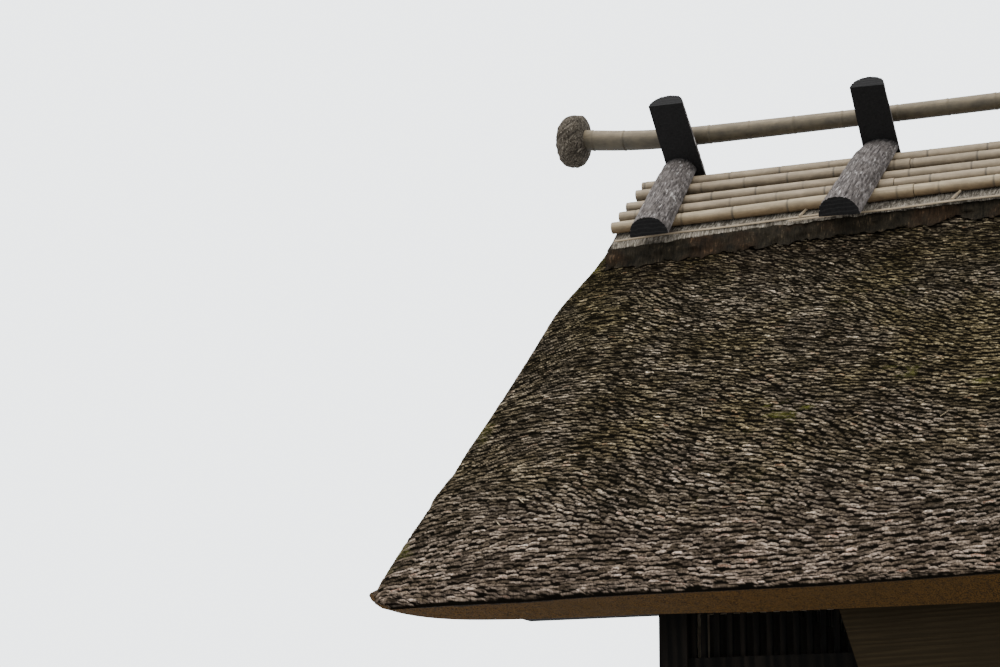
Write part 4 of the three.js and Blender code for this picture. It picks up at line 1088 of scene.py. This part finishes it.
def batten(name, side, start, stop, lower):
    """A split strip: section is a flat D, path follows the batten's line with its small waves."""
    x = np.linspace(start, stop, max(4, int(abs(stop - start) / 0.03)))
    u = batten_run(x, lower) + 0.004 * np.sin(x * 7)
    across = np.array([0.5, 0.46, 0.2, -0.2, -0.46, -0.5])[None] * BATTEN_WIDTH
    rise = np.array([0.0, 0.5, 1.0, 1.0, 0.5, 0.0])[None] * BATTEN_RISE
    n = -2 * BAMBOO_RADIUS - 0.0005 + rise + 0.003 * drift(x[:, None] * 4, rise * 0, 81)
    loops = cap_points(side, u[:, None] + across, n, x[:, None])
    return carried(name, loops, [cap_bamboo], flip=side < 0, sharp=35)


for side, side_name in ((-1, "front"), (1, "back")):
    for length_name, start, stop, steps_down in BATTEN_LENGTHS:
        show(batten(f"batten_{side_name}_{length_name}", side, start, stop, steps_down * BATTEN_STEP),
             "bamboo")


def batten_peg(name, foot, head):
    """A split peg over the batten: section is a flat D, path is straight from foot to head, which
    are given as (u, X) on the front of the cap."""
    t = np.linspace(0, 1, 5)[:, None]
    reach = math.hypot(head[0] - foot[0], head[1] - foot[1])
    across = np.array([0.5, 0.42, 0.2, -0.2, -0.42, -0.5])[None] * PEG_WIDTH * (1 - 0.3 * t)
    rise = np.array([0.0, 0.5, 1.0, 1.0, 0.5, 0.0])[None] * PEG_RISE
    u = foot[0] + (head[0] - foot[0]) * t + across * (head[1] - foot[1]) / reach
    x = foot[1] + (head[1] - foot[1]) * t - across * (head[0] - foot[0]) / reach
    n = -2 * BAMBOO_RADIUS + 0.0082 + 0.008 * t + rise
    return carried(name, cap_points(-1, u, n, x), [cap_bamboo], flip=True, sharp=35)


show(batten_peg("batten_peg_west", (0.79, -2.985), (0.69, -2.95)), "bamboo")
show(batten_peg("batten_peg_east", (0.775, -2.03), (0.68, -1.99)), "bamboo")


# Saddles: seven pairs of half logs with their bark on, laid over the cap flat side down and notched
# into each other at the crest. Their sawn faces are charred black against rot.
SADDLE_PITCH = 1.3
LOG_BELOW = 1.02
BACK_ABOVE = (0.527, 0.477, 0.5, 0.515, 0.49, 0.505, 0.495)
TAPER_LENGTH = 1.52
BUTT_WIDTH = 0.258
TOP_WIDTH = 0.224
FRONT_TURNS = (-3.6, 3.8, -1.5, 1, -2, 2.5, -1)
BACK_TURNS = (0.7, 1.7, 2, -2.5, 1, -1.5, 0.5)
FRONT_SHIFTS = (-0.057, 0, 0, 0.01, -0.015, 0, 0.02)
BACK_SHIFTS = (-0.02, 0, 0, -0.01, 0.005, 0, 0.01)
HEWN = (0.1, 0.38, 0.2, 0.1, 0.3, 0.15, 0.2)
WIDTH_CHANGES = (-0.009, 0.005, 0, 0.006, -0.006, 0.01, 0.002)
PLATE_HEIGHT = 0.008
BARK_WEAR = 0.006
CRACK_PITCH = 0.15


def log_bark():
    """Grey, lavender-tinted bark plates with dark furrows between them."""
    material, tree, place = finish("log_bark", 0.92, 0.2)
    furrow = read_mark(tree, "furrow")
    fibres = noise(tree, place, 85, 4, 0.7, (1, 0.18, 0.18))
    patches = noise(tree, place, 9, 4, 0.6)
    flecks = noise(tree, place, 62, 3, 0.6, (1, 0.2, 0.2))
    plate = ramp(tree, fibres, [(0.34, (0.022, 0.018, 0.0165)), (0.5, (0.088, 0.075, 0.069)),
                                (0.66, (0.206, 0.18, 0.169))])
    plate = mixed(tree, ramp(tree, patches, [(0.4, 0.0), (0.65, 0.6)]), plate, (0.075, 0.062, 0.054))
    plate = mixed(tree, ramp(tree, flecks, [(0.6, 0.0), (0.7, 0.7)]), plate, (0.42, 0.387, 0.363))
    colour = mixed(tree, ramp(tree, furrow, [(0.25, 0.0), (0.85, 0.85)]), plate, (0.018, 0.015, 0.014))
    # the front logs' bark goes near black towards the crossing
    darkened_near_crossing = read_mark(tree, "darkened_near_crossing")
    colour = mixed(tree, darkened_near_crossing, colour, (0.006, 0.0055, 0.005))
    return coated(material, colour, fibres, 0.006)


def charred_wood(name, ring_strength):
    """Charred wood: black with soft specks. On the sawn ends some growth rings catch the light."""
    material, tree, place = finish(name, 0.8, 0.08)
    specks = noise(tree, place, 70, 4, 0.7)
    rings = put(tree, "ShaderNodeTexWave",
                {"Vector": place, "Scale": 15.0, "Distortion": 3.0, "Detail": 1.0},
                wave_type="BANDS", bands_direction="Z").outputs["Fac"]
    colour = ramp(tree, specks, [(0.3, (0.008, 0.0073, 0.0072)), (0.75, (0.0155, 0.0145, 0.014))])
    lit = ramp(tree, rings, [(0.72, 0.0), (0.95, ring_strength)])
    ringed = mixed(tree, lit, colour, (0.045, 0.042, 0.04))
    return coated(material, ringed, specks, 0.003)


log_finishes = [log_bark(), charred_wood("charred_face", 0.0), charred_wood("charred_end", 0.2)]


def half_log(name, side, x, turned, change, above, hewn, steps, arc_steps):
    """Section: a half ellipse with bark furrows cut into it, closed by a flat. Path: up the slope
    from the butt, tapering evenly, and turned a little on its bed. A back log ends square at above;
    a front log ends in the plane of the back logs' flats, which is at u = n / tan(2 slope). hewn is
    the share of the height that is taken off towards the crossing. The front logs' bark turns near
    black towards it."""
    t = np.linspace(0, 1, steps)[:, None]
    angle = math.radians(turned)
    turn = np.linspace(0, math.pi, arc_steps)[None]
    seed = 90 + side * 7 + x * 3.1
    top_width = BUTT_WIDTH + (TOP_WIDTH - BUTT_WIDTH) * LOG_BELOW / TAPER_LENGTH
    top_n = top_width / 2 * np.sin(turn) ** 0.8 * (1 - hewn)
    top_u = -above
    if side < 0:
        turned_u = top_width / 2 * np.cos(turn) * math.tan(angle)
        top_u = 2 * REST_GAP + top_n / math.tan(2 * CAP_SLOPE) + turned_u
    u = LOG_BELOW + (top_u - LOG_BELOW) * t + 0 * turn
    width = BUTT_WIDTH + (TOP_WIDTH - BUTT_WIDTH) * (LOG_BELOW - u) / TAPER_LENGTH
    v = turn * 5.2 + 1.8 * drift(u * 4.5, turn * 1.5, seed) + 0.5 * drift(u * 14, turn * 4, seed + 1)
    plate = np.floor(v)
    ridge = np.abs(2 * (v - plate) - 1)
    w = u / CRACK_PITCH + scatter(plate, plate * 0, seed + 2) + 0.5 * drift(u * 5, turn * 3, seed + 3)
    crack = np.abs(2 * (w - np.floor(w)) - 1) ** 9
    furrow = np.maximum(eased(0.5, 1.0, ridge), 0.75 * crack)
    furrow = furrow * (0.45 + 0.55 * drift(u * 9, turn * 7, seed + 4))
    worn = BARK_WEAR * drift(u * 20, turn * 14, seed + 5)
    depth = (PLATE_HEIGHT * furrow + worn) * eased(0, 0.3, np.sin(turn))
    half = (width + change) / 2
    darkened_near_crossing = eased(0.14, 0.0, u + 0.03 * drift(u * 30, turn * 9, seed + 6)) * (side < 0)
    rise = width / 2 * np.sin(turn) ** 0.8 * (1 - hewn * eased(0.3, 0.0, u))
    inwards = 1 - depth / half
    across = half * np.cos(turn) * inwards
    rise = rise * inwards
    flat_share = np.linspace(-1, 1, 8)[None, 1:-1]
    flat = half[:, -1:] * (1 - flat_share) / 2 * -1 + half[:, :1] * (1 + flat_share) / 2
    across = np.concatenate([across, flat], 1)
    u = np.concatenate([u, u[:, -1:] + (u[:, :1] - u[:, -1:]) * (1 + flat_share) / 2], 1)
    rise = np.concatenate([rise, np.zeros_like(flat)], 1)
    marks = {"furrow": np.concatenate([furrow, np.zeros_like(flat)], 1),
             "darkened_near_crossing": np.concatenate([darkened_near_crossing, np.zeros_like(flat)], 1)}
    down = u * math.cos(angle) - across * math.sin(angle)
    over = across * math.cos(angle) + u * math.sin(angle)
    loops = cap_points(side, down, rise, x - over)
    around = across.shape[1]
    zones = [0] * (arc_steps - 1) + [1] * (around - arc_steps + 1)
    return carried(name, loops, log_finishes, zones, 2, marks, flip=side > 0, sharp=45)


saddles = zip(FRONT_TURNS, BACK_TURNS, FRONT_SHIFTS, BACK_SHIFTS, WIDTH_CHANGES, BACK_ABOVE, HEWN)
for number, (front_turn, back_turn, front_shift, back_shift, change, above, hewn) in enumerate(saddles, 1):
    place_x = (number - 4) * SADDLE_PITCH
    steps = (104, 50) if number <= 3 else (50, 28)
    show(half_log(f"saddle_front_{number}", -1, place_x + front_shift, front_turn, change, 0, hewn, *steps),
         "half_log", f"saddle_log_front_{number}")
    show(half_log(f"saddle_back_{number}", 1, place_x + back_shift, back_turn, -change, above, 0, *steps),
         "half_log", f"saddle_log_back_{number}")


# Ridge poles: two culms of timber bamboo laid in the forks of the saddles, thin ends butted over
# the middle pair. Each keeps its root ball, roots trimmed short, at the gable end.
POLE_RADIUS = 0.0555
POLE_SWELL = 0.0155
POLE_END = 4.64
POLE_RISE = 0.1
POLE_RISES_FROM = 3.9
FORK_THICKNESS = 0.11603
POLE_SPACING = 0.33
ROOT_PLACES = (-0.02, -0.008, 0.004, 0.025, 0.055, 0.09, 0.125, 0.158, 0.182)
ROOT_RADII = (0.08, 0.115, 0.15, 0.176, 0.1849, 0.183, 0.17, 0.135, 0.05)
STUB_DEPTH = 0.012
LUMP_DEPTH = 0.014
FOOT_PUSH = 0.02

pole_bamboo = bamboo("pole_bamboo", (0.22, 0.166, 0.101), (0.108, 0.081, 0.046), (0.06, 0.046, 0.026), 0.25)


def pole_radius(x):
    """Even over the middle, then swelling with the square of the distance towards the root."""
    return POLE_RADIUS + POLE_SWELL * np.clip((np.abs(x) - 2) / 2.5, 0, 1) ** 2


def pole_route(x):
    """The pole rests on the crests of the back logs, and turns up towards its end by a tenth of the
    square of the distance past the outermost saddle."""
    rise = POLE_RISE * np.maximum(np.abs(x) - POLE_RISES_FROM, 0) ** 2
    return np.stack([x, 0 * x, cap_height(0, FORK_THICKNESS + pole_radius(x) + REST_GAP) + rise], -1)


def root_ball_finish():
    """Matted, hanging root fibres, grey-brown with light strands, and painted shade in the deep gaps where
    the ball sinks between its stubs.
    """
    material, tree, place = finish("root_ball", 0.95, 0.1)
    stub = read_mark(tree, "stub")
    warp = noise(tree, place, 18, 2, 0.5)
    bent = mixed(tree, 0.06, place, warp, "ADD")
    strands = noise(tree, bent, 120, 4, 0.75, (1, 1, 0.35))
    root = ramp(tree, strands, [(0.36, (0.014, 0.011, 0.008)), (0.52, (0.09, 0.073, 0.054)),
                                (0.7, (0.29, 0.25, 0.2))])
    # painted shade: near black where the stub mark is low, which is where the ball is sunk deepest
    colour = mixed(tree, ramp(tree, stub, [(0.1, 0.75), (0.55, 0.0)]), root, (0.014, 0.011, 0.008))
    return coated(material, colour, strands, 0.02)


root_finish = root_ball_finish()


def root_ball(name, end, around, steps):
    """A blunt drum turned about the pole's line. Noise of two sizes sinks it between its lumps, and
    its foot is pushed outwards by a share of the sine of the turn."""
    share = np.linspace(0, 1, steps)
    profile_x, profile_r = [np.interp(share, np.linspace(0, 1, 9), values)[:, None]
                            for values in (ROOT_PLACES, ROOT_RADII)]
    turn = 2 * math.pi * np.arange(around)[None] / around
    row = np.arange(steps)[:, None] / 4.2
    lump = drift(np.cos(turn) * 3 + 5, row * 0.5 + np.sin(turn) * 2 + 9, 102)
    tangle = drift(np.cos(turn) * 11 + 12, row * 1.5 + np.sin(turn) * 11 + 12, 104)
    stub = np.clip(1.5 * tangle * (0.6 + 0.6 * lump), 0, 1)
    belly = np.sin(math.pi * share)[:, None]
    depth = STUB_DEPTH * (1 - stub) + LUMP_DEPTH * (1 - lump) * belly
    radius = np.maximum(profile_r - depth, 0.02)
    x = end * (POLE_END + profile_x - 0.15 * depth - (0.006 + FOOT_PUSH * np.sin(turn)) * belly)
    middle = pole_route(np.array([POLE_END]))[0, 2]
    loops = np.stack([x, radius * np.cos(turn), middle + radius * np.sin(turn)], -1)
    return carried(name, loops, [root_finish], marks={"stub": stub}, flip=end < 0, sharp=80)


for end, end_name in ((-1, "west"), (1, "east")):
    pole = culm(f"pole_{end_name}", pole_route, pole_radius, end * (POLE_END + 0.02), end * CULM_GAP,
                lambda x: POLE_SPACING, 26, pole_bamboo, (0.75, -0.35), 0.4, seed=20 + end)
    show(pole, "bamboo", f"ridge_pole_{end_name}")
    show(root_ball(f"root_ball_{end_name}", end, 140 if end < 0 else 70, 46 if end < 0 else 30), "bamboo")


# Sign board: a bare, sawn plank nailed to the rafter ends over the entrance. Its ends slant inwards
# towards its foot, and weather and smoke have turned it dark grey-brown.
paint(timber("sign_wood", (0.017, 0.0115, 0.0052), (0.0265, 0.018, 0.0083), "X", 0.9, 0.1, fineness=2.4),
      "sign_board")


# Loose straws: a few stalks that the wind has pulled out of the courses. They lie on the front
# slope, bleached lighter than the reed around them.
STRAW_COUNT = 30
STRAW_X = (-4.2, 1.2)
STRAW_UP_SLOPE = (0.25, 3.35)
STRAW_LENGTH = (0.03, 0.09)
STRAW_THICKNESS = (0.002, 0.004)


def spread(least, most, share):
    """Numbers from least, where the share is 0, to most, where it is 1."""
    return least + (most - least) * share


def loose_straws():
    """Each is a thin three-sided stalk between two points on the roof, at a random place and turn."""
    k = np.arange(STRAW_COUNT)
    x = spread(*STRAW_X, scatter(k, 1, 111))
    s = spread(*STRAW_UP_SLOPE, scatter(k, 2, 112))
    length = spread(*STRAW_LENGTH, scatter(k, 3, 113) ** 2)
    turn = 2 * math.pi * scatter(k, 4, 114)
    ends = np.array([-0.5, 0.5])[None]
    path_x = x[:, None] + ends * (length * np.cos(turn))[:, None]
    path_s = s[:, None] + ends * (length * np.sin(turn))[:, None]
    thick = spread(*STRAW_THICKNESS, scatter(k, 5, 115))[:, None, None]
    corner = 2 * math.pi * np.arange(3)[None, None] / 3
    line_s = path_s[:, :, None] + thick * np.cos(corner) * np.abs(np.cos(turn))[:, None, None]
    line_x = path_x[:, :, None] + thick * np.cos(corner) * np.abs(np.sin(turn))[:, None, None]
    line_n = -0.006 + thick * np.sin(corner) + 0 * line_s
    return prisms("loose_straws", roof_points(-1, line_s, line_n, line_x), np.array([[0, 2, 1], [3, 4, 5]]),
                  low_bamboo, 40)


show(loose_straws(), "thatch")


# Studio: a pale floor, an even pale sky, and one large soft light high over the entrance side.
# The sky lights the house with the second of its strengths, and is brighter where it is seen.
FLOOR_HALF = 45.0
SKY_COLOUR = (0.86, 0.9, 0.93, 1)
SKY_STRENGTHS = (1.6, 2.3)
LAMP_PLACE = Vector((-9, -4, 17))
LAMP_AIM = Vector((-1, -1, 4))
LAMP_SIZE = 14
LAMP_POWER = 1500


def pale_floor():
    """An even, pale grey with hardly any clouding."""
    material, tree, place = finish("pale_floor", 0.95, 0.1)
    colour = ramp(tree, noise(tree, place, 0.8, 3, 0.5), [(0.3, 0.58), (0.7, 0.62)])
    return coated(material, colour)


ground = FLOOR_HALF * np.array([[-1, -1, 0], [1, -1, 0], [1, 1, 0], [-1, 1, 0]])
quad = np.array([[0, 1, 2, 3]])
build("studio_floor", ground, [(quad, ground[quad][:, :, :2])], [pale_floor()])

sky = bpy.data.worlds.new("sky")
sky.use_nodes = True
background = sky.node_tree.nodes["Background"].inputs
background["Color"].default_value = SKY_COLOUR
ray = put(sky.node_tree, "ShaderNodeLightPath", {}).outputs["Is Camera Ray"]
sky.node_tree.links.new(worked(sky.node_tree, "MULTIPLY_ADD", ray, *SKY_STRENGTHS), background["Strength"])
bpy.context.scene.world = sky

lamp = bpy.data.lights.new("soft_light", "AREA")
lamp.shape = "DISK"
lamp.size = LAMP_SIZE
lamp.energy = LAMP_POWER
soft_light = bpy.data.objects.new("soft_light", lamp)
aim = (LAMP_AIM - LAMP_PLACE).to_track_quat("-Z", "Y").to_matrix().to_4x4()
soft_light.matrix_world = Matrix.Translation(LAMP_PLACE) @ aim
bpy.context.scene.collection.objects.link(soft_light)
